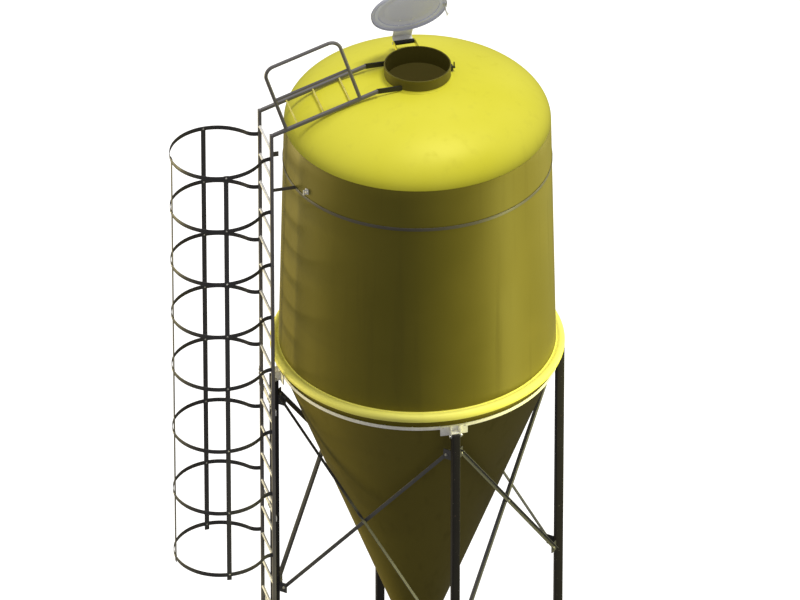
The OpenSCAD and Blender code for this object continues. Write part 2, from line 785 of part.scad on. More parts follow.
module hinge_arms() {
    color(yellow) difference() {
        for (side = [-1, 1])
            translate([side * arm_x - arm_t / 2, 0, hinge_z]) {
                translate([0, 0, -arm_h / 2]) cube([arm_t, hinge_y, arm_h]);
                translate([0, hinge_y, 0]) rotate([0, 90, 0]) cylinder(r = arm_h / 2, h = arm_t, $fn = 48);
            }
        translate([0, 0, roof_z - neck_dip]) cylinder(r = neck_r + skin, h = neck_rise + neck_dip);
        translate([-lid_r, hinge_y, hinge_z]) rotate([0, 90, 0])
            cylinder(r = pin_r + run_gap, h = 2 * lid_r, $fn = 32);
    }
}

module hinge_pin() {
    head = 5;
    washer = 4; // how much wider than the pin its loose end's washer is
    span = arm_x + arm_t / 2;
    color(zinc) translate([-span, hinge_y, hinge_z]) rotate([0, 90, 0]) {
        translate([0, 0, -head]) cylinder(r = pin_r + head, h = head, $fn = 32);
        cylinder(r = pin_r, h = 2 * span + head, $fn = 32);
        translate([0, 0, 2 * span]) cylinder(r = pin_r + washer, h = head, $fn = 32);
    }
}

// Swings what is drawn in the closed place to the open one
module opened() {
    translate([0, hinge_y, hinge_z]) rotate([-lid_open, 0, 0]) translate([0, -hinge_y, -hinge_z]) children();
}

module lid_cover() {
    rivet_r = 3;
    color(lid_grey) opened() translate([0, 0, lid_z - skirt_h]) difference() {
        cylinder(r = lid_r, h = skirt_h + lid_t);
        translate([0, 0, -eps]) cylinder(r = lid_r - lid_t, h = skirt_h + eps);
        translate([hasp_x, 0, 0]) cylinder(r = rivet_r, h = 3 * skirt_h, $fn = 24);
    }
}

module lid_gasket() {
    color(rubber) opened() translate([0, 0, lid_z - gasket_t])
        tube(neck_r + gasket_w / 2, neck_r - gasket_w / 2, gasket_t);
}

module lid_hinge_strap() {
    over = 190; // how far the strap lies on the lid
    top = lid_z + lid_t;
    back = hinge_y + knuckle_r;
    color(zinc) opened() {
        translate([-strap_w / 2, lid_r - over, top]) cube([strap_w, back - lid_r + over, strap_t]);
        translate([-strap_w / 2, back, hinge_z]) cube([strap_w, strap_t, top + strap_t - hinge_z]);
    }
}

module lid_knuckle() {
    color(dark_steel) opened() translate([-strap_w / 2, hinge_y, hinge_z]) rotate([0, 90, 0])
        tube(knuckle_r, pin_r + run_gap, strap_w, $fn = 48);
}

// A strip that hangs from the lid's edge; its forked end straddles the catch's pin and carries a stud
module lid_hasp() {
    foot = 16;
    rim = 4; // round the stud
    fork_gap = 3; // above the catch's pin
    ear_h = stud_z - hasp_low + stud_r + rim;
    color(zinc) opened() {
        difference() {
            union() {
                translate([hasp_x - hasp_t / 2, -hasp_w / 2, hasp_low])
                    cube([hasp_t, hasp_w, lid_z - hasp_low]);
                translate([hasp_x - foot, -hasp_w / 2, lid_z - hasp_t]) cube([foot, hasp_w, hasp_t]);
                translate([hasp_x - hasp_t / 2, -stud_y - stud_r - rim, hasp_low])
                    cube([hasp_t, hasp_w, ear_h]);
            }
            translate([hasp_x - foot, -fork_w / 2, hasp_low - eps])
                cube([2 * foot, fork_w, catch_z + catch_pin_r + fork_gap - hasp_low + eps]);
        }
        translate([hasp_x, -stud_y, stud_z]) rotate([0, 90, 0])
            cylinder(r = stud_r, h = lever_x + lever_t - hasp_x, $fn = 32);
    }
}

module lid_catch() {
    cap = 4; // of the pin: its rim and its height
    play = 1; // from the lever to the pin's cap
    color(dark_steel) {
        difference() {
            translate([0, -catch_w / 2, catch_z - catch_h / 2]) cube([catch_out, catch_w, catch_h]);
            translate([0, 0, roof_z - neck_dip]) cylinder(r = neck_r + skin, h = neck_rise + neck_dip);
        }
        translate([catch_out - eps, 0, catch_z]) rotate([0, 90, 0]) {
            cylinder(r = catch_pin_r, h = lever_x + lever_t + 2 * play - catch_out, $fn = 32);
            translate([0, 0, lever_x + lever_t + play + skin - catch_out])
                cylinder(r = catch_pin_r + cap, h = cap, $fn = 32);
        }
    }
}

module catch_lever() {
    color(grey_steel) difference() {
        translate([lever_x, 0, catch_z]) {
            rotate([0, 90, 0]) cylinder(r = lever_w / 2 + lever_rim, h = lever_t, $fn = 32);
            translate([0, -lever_w / 2, 0]) cube([lever_t, lever_w, lever_len]);
        }
        translate([lever_x - eps, 0, catch_z]) rotate([0, 90, 0])
            cylinder(r = catch_pin_r + run_gap, h = lever_t + 2 * eps, $fn = 32);
    }
}

// ---- Outlet and slide gate ----

module gate_plate(t) {
    difference() {
        translate([-gate_side / 2, -gate_side / 2, 0]) cube([gate_side, gate_side, t]);
        translate([0, 0, -eps]) cylinder(r = outlet_r, h = t + 2 * eps);
    }
}

module gate_bolt_spots() {
    spot = (gate_side - guide_w) / 2;
    for (x = [-1, 1], y = [-1, 0, 1])
        translate([x * spot, y * spot, 0]) children();
}

module gate_holes(h) {
    gate_bolt_spots() cylinder(r = gate_bolt_r + hole_gap, h = h, $fn = 24);
}

module outlet_flange() {
    color(zinc) translate([0, 0, gate_top_z]) difference() {
        gate_plate(gate_plate_t);
        translate([0, 0, -eps]) gate_holes(2 * gate_plate_t);
    }
}

module gate_body() {
    inner = gate_side - 2 * guide_w;
    color(zinc) difference() {
        union() {
            translate([0, 0, gate_low_z]) gate_plate(gate_plate_t);
            translate([0, 0, gate_slot_z]) difference() {
                translate([-gate_side / 2, -gate_side / 2, 0]) cube([gate_side, gate_side, slot_t]);
                translate([-inner / 2, -gate_side, -eps])
                    cube([inner, gate_side + inner / 2, slot_t + 2 * eps]);
            }
            translate([0, 0, gate_low_z - spout_h]) tube(outlet_r + gate_plate_t, outlet_r, spout_h);
        }
        translate([0, 0, gate_low_z - eps]) gate_holes(gate_plate_t + slot_t + 2 * eps);
    }
}

module gate_blade() {
    back = gate_side / 2 - guide_w - blade_gap;
    front = gate_side / 2 + blade_front;
    color(grey_steel) translate([-blade_w / 2, -front, gate_slot_z + slide_gap]) {
        cube([blade_w, front + back, blade_t]);
        translate([0, -blade_t, -grip_reach / 2]) cube([blade_w, blade_t, grip_reach]);
    }
}

module gate_handle() {
    front = gate_side / 2 + blade_front + blade_t;
    z = gate_slot_z + slide_gap;
    color(dark_steel) translate([0, -front, z]) {
        for (side = [-1, 1])
            translate([side * grip_w / 2, 0, 0]) rotate([90, 0, 0])
                cylinder(r = grip_r, h = grip_reach, $fn = 32);
        translate([-grip_w / 2 - 2 * grip_r, -grip_reach, 0]) rotate([0, 90, 0])
            cylinder(r = grip_r + grip_swell, h = grip_w + 4 * grip_r, $fn = 32);
    }
}

module gate_bolts() {
    color(zinc) gate_bolt_spots() translate([0, 0, outlet_z]) mirror([0, 0, 1])
        bolt(gate_bolt_r, 2 * gate_plate_t + slot_t);
}

barrel();
roof_dome();
hopper_cone();
manhole_neck();
rolled_bead();
support_ring();
flange_bolts();
band_strap();
lifting_lugs();
leg_left();
leg_front();
leg_right();
leg_back();
base_plates();
leg_head_brackets();
head_bolts();
brace_gussets();
brace_bolts();
brace_front_left_outer();
brace_front_left_inner();
brace_front_right_outer();
brace_front_right_inner();
brace_back_right_outer();
brace_back_right_inner();
brace_back_left_outer();
brace_back_left_inner();
ladder_rails_lower();
ladder_rails_upper();
ladder_rungs();
ladder_ties();
ladder_standoffs();
roof_rails();
roof_rungs();
roof_end_bars();
handrail();
cage_hoop_1();
cage_hoop_2();
cage_hoop_3();
cage_hoop_4();
cage_hoop_5();
cage_hoop_6();
cage_hoop_7();
cage_hoop_8();
cage_strap_front();
cage_strap_outer();
cage_strap_back();
hinge_arms();
hinge_pin();
lid_cover();
lid_gasket();
lid_hinge_strap();
lid_knuckle();
lid_hasp();
lid_catch();
catch_lever();
outlet_flange();
gate_body();
gate_blade();
gate_handle();
gate_bolts();
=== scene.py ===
import json
import math

import bpy
import numpy as np
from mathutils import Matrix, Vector


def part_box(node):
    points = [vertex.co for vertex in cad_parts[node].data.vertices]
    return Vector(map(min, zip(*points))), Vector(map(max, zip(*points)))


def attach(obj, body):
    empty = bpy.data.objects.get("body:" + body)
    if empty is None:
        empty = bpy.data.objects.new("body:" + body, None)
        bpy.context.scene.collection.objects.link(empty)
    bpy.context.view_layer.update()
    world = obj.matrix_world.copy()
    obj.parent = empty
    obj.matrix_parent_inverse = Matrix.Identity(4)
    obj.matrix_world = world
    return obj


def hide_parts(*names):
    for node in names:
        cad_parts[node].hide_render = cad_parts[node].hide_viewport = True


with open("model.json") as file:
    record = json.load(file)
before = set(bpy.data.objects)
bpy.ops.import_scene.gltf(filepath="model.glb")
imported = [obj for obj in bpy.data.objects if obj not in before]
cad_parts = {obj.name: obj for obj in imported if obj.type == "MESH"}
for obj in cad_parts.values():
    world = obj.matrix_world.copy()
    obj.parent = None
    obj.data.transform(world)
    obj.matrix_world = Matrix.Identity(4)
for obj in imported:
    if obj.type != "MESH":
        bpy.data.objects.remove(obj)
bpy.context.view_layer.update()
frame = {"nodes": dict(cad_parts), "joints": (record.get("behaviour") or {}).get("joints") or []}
print("frame loaded:", len(frame["nodes"]), "nodes")

# A part is (points, face arrays, edge), where edge is 1 on a worn corner and 0 on a flat.


def gridFaces(rows, cols, wrapRows=False, wrapCols=False):
    # quads between neighbours of a rows x cols grid of points
    i = np.arange(rows if wrapRows else rows - 1)
    j = np.arange(cols if wrapCols else cols - 1)
    a, b = (m.ravel() for m in np.meshgrid(i, j, indexing="ij"))
    c, d = (a + 1) % rows, (b + 1) % cols
    return np.stack([a * cols + b, c * cols + b, c * cols + d, a * cols + d], -1)


def outward(points, faces, edge):
    # the signed volume of the closed shell says which way its faces look
    volume = 0.0
    for group in faces:
        for k in range(1, group.shape[1] - 1):
            a, b, c = points[group[:, 0]], points[group[:, k]], points[group[:, k + 1]]
            volume += np.einsum("ij,ij->", a, np.cross(b, c))
    if volume < 0:
        faces = [group[:, ::-1] for group in faces]
    return points, faces, edge


def join(parts):
    points, faces, edges, start = [], [], [], 0
    for p, groups, e in parts:
        points.append(p)
        edges.append(e)
        faces += [group + start for group in groups]
        start += len(p)
    return np.concatenate(points), faces, np.concatenate(edges)


def place(part, matrices):
    # one copy of the part for each 4 x 4 matrix
    points, faces, edge = part
    wide = np.c_[points, np.ones(len(points))]
    matrices = np.asarray(matrices, float).reshape(-1, 4, 4)
    return join([outward((wide @ m.T)[:, :3], faces, edge) for m in matrices])


def shift(x=0.0, y=0.0, z=0.0):
    m = np.eye(4)
    m[:3, 3] = x, y, z
    return m


def turn(axis, degrees):
    a, b = {"x": (1, 2), "y": (2, 0), "z": (0, 1)}[axis]
    c, s = math.cos(math.radians(degrees)), math.sin(math.radians(degrees))
    m = np.eye(4)
    m[a, a], m[a, b], m[b, a], m[b, b] = c, -s, s, c
    return m


def flip(axis):
    m = np.eye(4)
    m["xyz".index(axis), "xyz".index(axis)] = -1
    return m


def roundedBox(width, height, corner, steps=4):
    # outline of a rectangle with quarter circles at its corners, and 1 where the outline bends
    corner = max(corner, 1e-5)
    angles = np.radians(np.linspace(0, 90, steps + 1))
    quarter = np.arange(4)[:, None] * math.pi / 2 + angles[None, :]
    cx = np.array([1, -1, -1, 1])[:, None] * (width / 2 - corner)
    cy = np.array([1, 1, -1, -1])[:, None] * (height / 2 - corner)
    outline = np.stack([cx + corner * np.cos(quarter), cy + corner * np.sin(quarter)], -1)
    worn = np.tile(np.sin(np.linspace(0, math.pi, steps + 1)), 4)
    return outline.reshape(-1, 2), worn


def closedBox(width, height, corner, steps=4):
    # the same outline, with its first point again at the end
    outline = roundedBox(width, height, corner, steps)[0]
    return np.concatenate([outline, outline[:1]])


def bar(width, height, corner, steps=4):
    # the rounded rectangle, drawn in from every side by an inset
    return lambda inset: roundedBox(width - 2 * inset, height - 2 * inset, corner - inset, steps)


def rod(radius, sides=24):
    turnsRound = np.linspace(0, 2 * math.pi, sides, endpoint=False)
    circle = np.stack([np.cos(turnsRound), np.sin(turnsRound)], -1)
    return lambda inset: ((radius - inset) * circle, np.zeros(sides))


def sweep(outline, path, side, up=None, ends=0.0, swell=None):
    # the outline is carried along the path: point = path + u * side + v * up, where up is square
    # to the other two unless given, and at each end it is drawn in by the bevel "ends"
    path = np.asarray(path, float)
    along = np.gradient(path, axis=0)
    along /= np.linalg.norm(along, axis=1, keepdims=True)
    side = np.broadcast_to(np.asarray(side, float), path.shape)
    up = np.cross(along, side) if up is None else np.broadcast_to(np.asarray(up, float), path.shape)
    swell = np.ones(len(path)) if swell is None else np.asarray(swell, float)
    full, worn = outline(0.0)
    if ends > 0:
        first, last = path[:1], path[-1:]
        path = np.concatenate([first, first + along[:1] * ends, path[1:-1], last - along[-1:] * ends, last])
        side, up = (np.concatenate([v[:1], v, v[-1:]]) for v in (side, up))
        swell = np.concatenate([swell[:1], swell, swell[-1:]])
    rings = np.repeat(full[None], len(path), 0) * swell[:, None, None]
    edge = np.repeat(worn[None], len(path), 0)
    if ends > 0:
        rings[0] = rings[-1] = outline(ends)[0]
        edge[[0, 1, -2, -1]] = 1.0
    points = path[:, None] + rings[..., :1] * side[:, None] + rings[..., 1:] * up[:, None]
    rows, cols = points.shape[:2]
    caps = np.stack([np.arange(cols)[::-1], (rows - 1) * cols + np.arange(cols)])
    return outward(points.reshape(-1, 3), [gridFaces(rows, cols, False, True), caps], edge.ravel())


def slab(size, centre, corner=0.004, bevel=0.0015, thin="z"):
    # a flat plate with rounded corners and bevelled faces, its thickness along one axis
    x, y, z = size
    c = np.asarray(centre, float)
    if thin == "z":
        width, height, depth, side, up, along = x, y, z, (1, 0, 0), (0, 1, 0), (0, 0, 1)
    elif thin == "x":
        width, height, depth, side, up, along = y, z, x, (0, 1, 0), (0, 0, 1), (1, 0, 0)
    else:
        width, height, depth, side, up, along = x, z, y, (1, 0, 0), (0, 0, 1), (0, 1, 0)
    half = np.asarray(along, float) * depth / 2
    return sweep(bar(width, height, corner), [c - half, c + half], side, up, min(bevel, depth / 3))


def spun(profile, turns):
    # x = radius * cos(angle), y = radius * sin(angle), z = height
    angle = np.linspace(0, 2 * math.pi, turns, endpoint=False)[:, None]
    r, z = profile[None, :, 0], profile[None, :, 1]
    return np.stack([r * np.cos(angle), r * np.sin(angle), z + 0 * angle], -1).reshape(-1, 3)


def revolve(profile, turns, worn=None):
    # (radius, height) pairs of a closed loop, carried round the Z axis
    profile = np.asarray(profile, float)
    edge = np.zeros(len(profile)) if worn is None else np.asarray(worn, float)
    return outward(spun(profile, turns), [gridFaces(turns, len(profile), True, True)], np.tile(edge, turns))


def capped(profile, turns):
    # (radius, height) pairs from the axis round to the axis; each end closes on one point
    profile = np.asarray(profile, float)
    inner = profile[1:-1]
    ring = spun(inner, turns)
    poles = [[0, 0, profile[0, 1]], [0, 0, profile[-1, 1]]]
    points = np.concatenate([ring, poles])
    n, count = len(inner), len(ring)
    a = np.arange(turns) * n
    b = (np.arange(turns) + 1) % turns * n
    first = np.stack([np.full(turns, count), b, a], -1)
    last = np.stack([np.full(turns, count + 1), a + n - 1, b + n - 1], -1)
    return outward(points, [gridFaces(turns, n, True, False), first, last], np.zeros(len(points)))


def bend(centre, radius, start, stop, steps=8):
    # points of a flat arc between two angles in degrees
    a = np.radians(np.linspace(start, stop, steps + 1))
    return np.stack([centre[0] + radius * np.cos(a), centre[1] + radius * np.sin(a)], -1)


def circle(radius, axis):
    # a closed ring of points, square to one axis
    a = np.linspace(0, 2 * math.pi, 40)
    c, s, zero = np.cos(a), np.sin(a), 0 * a
    return radius * np.stack({"x": (zero, c, s), "y": (c, zero, s), "z": (c, s, zero)}[axis], -1)


def softCorners(corners, radius, steps=4):
    # each corner of a closed outline becomes a quadratic curve that starts and ends "radius" away from it
    p = np.asarray(corners, float)
    radius = np.broadcast_to(np.asarray(radius, float), len(p))[:, None, None]
    before, after = np.roll(p, 1, 0) - p, np.roll(p, -1, 0) - p
    before /= np.linalg.norm(before, axis=1, keepdims=True)
    after /= np.linalg.norm(after, axis=1, keepdims=True)
    t = np.linspace(0, 1, steps + 1)[None, :, None]
    mid = p[:, None]
    start, stop = mid + before[:, None] * radius, mid + after[:, None] * radius
    curve = (1 - t) ** 2 * start + 2 * t * (1 - t) * mid + t**2 * stop
    worn = np.tile(np.sin(np.linspace(0, math.pi, steps + 1)), len(p))
    return curve.reshape(-1, 2), worn


def hexRings(radius, low, high, chamfer):
    # a hexagon prism whose far end is chamfered
    a = np.radians(np.arange(6) * 60 + 30)
    hexagon = np.stack([np.cos(a), np.sin(a)], -1) * radius
    level = [(low, 1.0), (high - np.sign(high - low) * chamfer, 1.0), (high, 0.86)]
    points = np.concatenate([np.c_[hexagon * s, np.full(6, z)] for z, s in level])
    caps = np.stack([np.arange(6)[::-1], 12 + np.arange(6)])
    return outward(points, [gridFaces(3, 6, False, True), caps], np.repeat([0.0, 0.6, 1.0], 6))


def disc(radius, low, high, sides=20, chamfer=0.0008):
    chamfer = min(chamfer, abs(high - low) / 3)
    return sweep(rod(radius, sides), [(0, 0, low), (0, 0, high)], (1, 0, 0), ends=chamfer)


def bolt(radius, grip, washer=0.002):
    # head below the origin, washers on both faces, nut and thread end above the grip
    head = 1.2 * radius
    wide = 1.9 * radius
    return join([
        disc(2.15 * radius, -washer, 0.0),
        hexRings(wide, -washer, -washer - head, 0.2 * head),
        disc(2.15 * radius, grip, grip + washer),
        hexRings(wide, grip + washer, grip + washer + 1.4 * radius, 0.2 * head),
        disc(radius * 0.96, grip + washer, grip + washer + 2.2 * radius, 14),
    ])


def weld(path, side, radius=0.004):
    # a bead of weld; radius = base * (1 + depth * sin(2 pi * length / pitch))
    spacing, most, depth, pitch = 0.002, 260, 0.14, 0.0085
    path = np.asarray(path, float)
    step = np.linalg.norm(np.diff(path, axis=0), axis=1)
    length = np.r_[0, np.cumsum(step)]
    count = int(length[-1] / spacing) + 2
    at = np.linspace(0, length[-1], min(count, most))
    fine = np.stack([np.interp(at, length, path[:, k]) for k in range(3)], -1)
    ripple = 1 + depth * np.sin(at * 2 * math.pi / pitch)
    return sweep(rod(radius, 8), fine, side, swell=ripple)


sharpAngle = 32


def piece(name, part, nodes, finish, body="root", inside=None):
    # "inside" is a second finish, for the faces that look towards the Z axis
    points, faces, edge = part
    mesh = bpy.data.meshes.new(name)
    mesh.from_pydata(points.tolist(), [], [f for group in faces for f in group.tolist()])
    mesh.attributes.new("worn", "FLOAT", "POINT").data.foreach_set("value", edge.astype(np.float32))
    mesh.polygons.foreach_set("use_smooth", np.ones(len(mesh.polygons), bool))
    mesh.set_sharp_from_angle(angle=math.radians(sharpAngle))
    mesh.materials.append(finish)
    if inside:
        mesh.materials.append(inside)
        centre = np.empty(len(mesh.polygons) * 3, np.float32)
        normal = np.empty_like(centre)
        mesh.polygons.foreach_get("center", centre)
        mesh.polygons.foreach_get("normal", normal)
        facing = (centre.reshape(-1, 3)[:, :2] * normal.reshape(-1, 3)[:, :2]).sum(1) < -0.02
        mesh.polygons.foreach_set("material_index", facing.astype(np.int32))
    mesh.validate()
    made = bpy.data.objects.new(name, mesh)
    bpy.context.scene.collection.objects.link(made)
    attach(made, body)
    if nodes:
        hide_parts(*nodes)


def dress(finish, *names):
    for name in names:
        mesh = frame["nodes"][name].data
        mesh.materials.clear()
        mesh.materials.append(finish)


class Wire:
    # a socket whose arithmetic adds Math nodes
    def __init__(self, recipe, socket):
        self.recipe, self.socket = recipe, socket

    def __add__(self, other):
        return self.recipe.maths("ADD", self, other)

    def __sub__(self, other):
        return self.recipe.maths("SUBTRACT", self, other)

    def __rsub__(self, other):
        return self.recipe.maths("SUBTRACT", other, self)

    def __mul__(self, other):
        return self.recipe.maths("MULTIPLY", self, other)

    __radd__ = __add__
    __rmul__ = __mul__


class Recipe:
    def __init__(self, name):
        self.material = bpy.data.materials.new(name)
        self.material.use_nodes = True
        self.tree = self.material.node_tree
        self.tree.nodes.clear()
        self.here = self.node("ShaderNodeTexCoord", out="Object")
        self.worn = self.node("ShaderNodeAttribute", {"attribute_name": "worn"}, out="Fac")

    def node(self, kind, settings=None, inputs=None, out=0):
        made = self.tree.nodes.new(kind)
        for key, value in (settings or {}).items():
            setattr(made, key, value)
        for key, value in (inputs or {}).items():
            if isinstance(value, Wire):
                self.tree.links.new(value.socket, made.inputs[key])
            else:
                made.inputs[key].default_value = value
        return None if out is None else Wire(self, made.outputs[out])

    def maths(self, operation, first, second):
        return self.node("ShaderNodeMath", {"operation": operation}, {0: first, 1: second})

    def stretched(self, x, y, z):
        return self.node("ShaderNodeVectorMath", {"operation": "MULTIPLY"}, {0: self.here, 1: (x, y, z)})

    def along(self, axis):
        return self.node("ShaderNodeSeparateXYZ", inputs={0: self.here}, out=axis)

    def noise(self, scale, detail=3.0, where=None, rough=0.55):
        inputs = {"Vector": where or self.here, "Scale": scale, "Detail": detail, "Roughness": rough}
        return self.node("ShaderNodeTexNoise", inputs=inputs)

    def cells(self, scale, where=None):
        inputs = {"Vector": where or self.here, "Scale": scale}
        return self.node("ShaderNodeTexVoronoi", inputs=inputs, out="Color")

    def ramp(self, value, low, high, first=0.0, last=1.0):
        settings = {"interpolation_type": "SMOOTHSTEP"}
        return self.node("ShaderNodeMapRange", settings, {0: value, 1: low, 2: high, 3: first, 4: last})

    def mixed(self, factor, first, second):
        return self.node("ShaderNodeMix", {"data_type": "RGBA"}, {0: factor, 6: first, 7: second}, out=2)

    def finish(self, colour, roughness, height, metallic=0.0, constants=None):
        normal = self.node("ShaderNodeBump", inputs={"Strength": 1.0, "Distance": 0.001, "Height": height})
        inputs = {"Base Color": colour, "Roughness": roughness, "Metallic": metallic, "Normal": normal}
        shader = self.node("ShaderNodeBsdfPrincipled", inputs={**inputs, **(constants or {})})
        return self.output(shader)

    def output(self, shader):
        self.node("ShaderNodeOutputMaterial", inputs={"Surface": shader}, out=None)
        return self.material


def paint(red, green, blue):
    # screen values of 0 to 255 as a linear colour
    c = np.array([red, green, blue]) / 255
    linear = np.where(c <= 0.04045, c / 12.92, ((c + 0.055) / 1.055) ** 2.4)
    return (*linear.tolist(), 1.0)


def tones(like=None, **values):
    # a look, or another one changed: numbers and sheens as they are, and colours from screen values
    changed = {key: paint(*value) if isinstance(value, tuple) else value for key, value in values.items()}
    return {**(like or {}), **changed}


def moulded(name, look):
    # gelcoat over glass fibre: slow colour drift, rain streaks, specks, orange peel and a hint of weave
    r = Recipe(name)
    drift = r.ramp(r.noise(0.9, 3.0), 0.35, 0.7)
    streaks = r.ramp(r.noise(1.0, 4.0, r.stretched(9.0, 9.0, 0.32)), 0.52, 0.8)
    specks = r.ramp(r.noise(160.0, 2.0), 0.7, 0.78)
    weave = r.noise(1.0, 2.0, r.stretched(42.0, 42.0, 42.0))
    peel = r.noise(240.0, 1.0)
    wave = r.noise(2.3, 2.0)
    colour = r.mixed(drift, look["colour"], look["faded"])
    colour = r.mixed(streaks * look["streak"], colour, look["grime"])
    colour = r.mixed(specks * 0.25, colour, look["grime"])
    scuffs = r.ramp(r.worn + r.noise(60.0, 3.0) * 0.6, 0.9, 1.3)
    colour = r.mixed(scuffs * 0.7, colour, look["edge"])
    roughness = look["rough"] + 0.10 * streaks + 0.08 * (drift - 0.5) + 0.04 * peel
    height = 0.5 * wave + 0.10 * weave + 0.03 * peel
    return r.finish(colour, roughness, height, constants=look.get("constants"))


def painted(name, look):
    # paint on steel: drift, dust, pale worn corners, chips down to the metal and rust in the chips
    r = Recipe(name)
    drift = r.ramp(r.noise(3.2, 4.0), 0.3, 0.72)
    grain = r.noise(420.0, 2.0)
    dust = r.ramp(r.noise(1.0, 4.0, r.stretched(14.0, 14.0, 1.1)), 0.5, 0.78)
    chipNoise = r.noise(75.0, 5.0, rough=0.65)
    chips = r.ramp(chipNoise + 0.34 * r.worn, look["chip"], look["chip"] + 0.05)
    rust = r.ramp(r.noise(38.0, 3.0), 0.5, 0.62) * chips
    colour = r.mixed(drift, look["colour"], look["faded"])
    colour = r.mixed(dust * look["dust"], colour, look["dusty"])
    colour = r.mixed(r.worn * 0.22, colour, look["edge"])
    colour = r.mixed(chips, colour, look["bare"])
    colour = r.mixed(rust * 0.7, colour, look["rust"])
    roughness = look["rough"] + 0.16 * dust + 0.1 * grain - 0.12 * chips
    height = 0.05 * grain - 0.12 * chips
    return r.finish(colour, roughness, height, 0.45 * chips * (1 - rust), look.get("constants"))


def galvanised(name, look):
    # hot-dip zinc: spangle cells of differing grey, drips and white bloom, scuffs on corners
    r = Recipe(name)
    spangle = r.node("ShaderNodeSeparateColor", inputs={0: r.cells(look["spangle"])}, out=0)
    fine = r.node("ShaderNodeSeparateColor", inputs={0: r.cells(look["spangle"] * 2.7)}, out=1)
    bloom = r.ramp(r.noise(11.0, 5.0, rough=0.62), 0.5, 0.68)
    drips = r.ramp(r.noise(1.0, 3.0, r.stretched(30.0, 30.0, 3.0)), 0.5, 0.8)
    tone = 0.65 * spangle + 0.35 * fine
    colour = r.mixed(tone, look["dark"], look["light"])
    colour = r.mixed(bloom * 0.55, colour, look["bloom"])
    colour = r.mixed(r.worn * 0.5, colour, look["light"])
    colour = r.mixed(drips * 0.2, colour, look["dark"])
    roughness = look["rough"] + 0.16 * (tone - 0.5) + 0.2 * bloom
    height = 0.05 * tone + 0.14 * drips + 0.05 * bloom
    return r.finish(colour, roughness, height, look["metal"] * (1 - bloom))


def brushedSteel(name, look):
    # rolled sheet: fine lines one way, scratches the other, oil and dust patches
    r = Recipe(name)
    lines = r.noise(1.0, 3.0, r.stretched(900.0, 14.0, 900.0))
    scratches = r.ramp(r.noise(1.0, 2.0, r.stretched(16.0, 420.0, 420.0)), 0.66, 0.72)
    patches = r.ramp(r.noise(9.0, 4.0), 0.45, 0.7)
    colour = r.mixed(lines * 0.6 + 0.3 * patches, look["light"], look["dark"])
    colour = r.mixed(scratches * 0.4, colour, look["light"])
    roughness = look["rough"] + 0.14 * patches + 0.1 * lines
    return r.finish(colour, roughness, 0.02 * lines - 0.03 * scratches, look["metal"])


def rubbery(name, look):
    # sponge rubber: pores, a pale bloom and pressed patches
    r = Recipe(name)
    pores = r.ramp(r.noise(520.0, 2.0), 0.55, 0.66)
    bloom = r.ramp(r.noise(14.0, 4.0), 0.42, 0.7)
    colour = r.mixed(bloom, look["colour"], look["faded"])
    colour = r.mixed(pores * 0.5, colour, look["pore"])
    return r.finish(colour, look["rough"] + 0.12 * pores, 0.1 * bloom - 0.12 * pores)


yellowSheen = {"Specular Tint": (1.0, 0.93, 0.35, 1.0)}
oliveSheen = {"Specular Tint": (0.9, 0.8, 0.22, 1.0), "Specular IOR Level": 0.32}
hopperSheen = {**oliveSheen, "Specular IOR Level": 0.3}
dullSheen = {"Specular IOR Level": 0.3}
# a painted glow: the inside faces emit a faint yellow light, standing in for daylight that passes through the
# thin laminate
paintedGlow = {"Emission Color": (1.0, 0.93, 0.34, 1.0), "Emission Strength": 0.02}

yellowLook = tones(
    colour=(229, 223, 58), faded=(234, 228, 72), grime=(150, 140, 60),
    edge=(246, 242, 150), streak=0.10, rough=0.42, constants=yellowSheen,
)
# painted highlight: the bead's gelcoat is made paler than the dome's yellow to stand in for the light along
# its top
highlitBeadLook = tones(yellowLook, colour=(244, 239, 112), faded=(247, 242, 126))
# painted shade: the barrel's gelcoat is the dome's yellow, darkened here to olive to stand in for the shade
# on its upright walls
shadedOliveLook = tones(
    colour=(103, 96, 34), faded=(109, 101, 38), grime=(68, 62, 32),
    edge=(170, 162, 80), streak=0.22, rough=0.48, constants=oliveSheen,
)
# painted shade: the neck's upright wall, the yellow gelcoat darkened further still
shadedNeckLook = tones(shadedOliveLook, colour=(92, 86, 36), faded=(98, 92, 40))
# the bare laminate inside, which carries the painted glow
insideLook = tones(
    shadedOliveLook, colour=(196, 184, 116), faded=(204, 193, 128),
    streak=0.3, rough=0.62, constants=paintedGlow,
)
# painted shade: the hopper's yellow gelcoat darkened to olive, standing in for the shade on its down-facing
# cone
shadedHopperLook = tones(
    colour=(108, 98, 38), faded=(114, 104, 42), grime=(70, 64, 34),
    edge=(150, 140, 74), streak=0.22, rough=0.55, constants=hopperSheen,
)
lidLook = tones(
    colour=(182, 184, 196), faded=(186, 188, 200), grime=(134, 135, 140),
    edge=(235, 235, 238), streak=0.12, rough=0.5,
)
darkLook = tones(
    colour=(44, 42, 45), faded=(54, 52, 55), dusty=(96, 92, 86),
    edge=(78, 76, 78), bare=(132, 130, 126), rust=(112, 62, 34),
    dust=0.10, rough=0.42, chip=1.0,
)
legLook = tones(
    darkLook, colour=(20, 17, 22), faded=(24, 21, 26), dusty=(60, 58, 56),
    edge=(44, 42, 44), rough=0.45, constants=dullSheen,
)
braceLook = tones(
    darkLook, colour=(62, 62, 66), faded=(72, 72, 75), edge=(104, 104, 105),
)
cageLook = tones(darkLook, colour=(54, 53, 55), faded=(63, 62, 63), edge=(88, 87, 87))
ladderLook = tones(
    darkLook, colour=(102, 99, 101), faded=(111, 108, 110), edge=(132, 130, 131),
)
bandLook = tones(darkLook, colour=(80, 76, 66), faded=(88, 84, 73), edge=(112, 108, 96))
blackLook = tones(
    darkLook, colour=(24, 24, 26), faded=(34, 34, 36), edge=(60, 60, 62),
    rough=0.5,
)
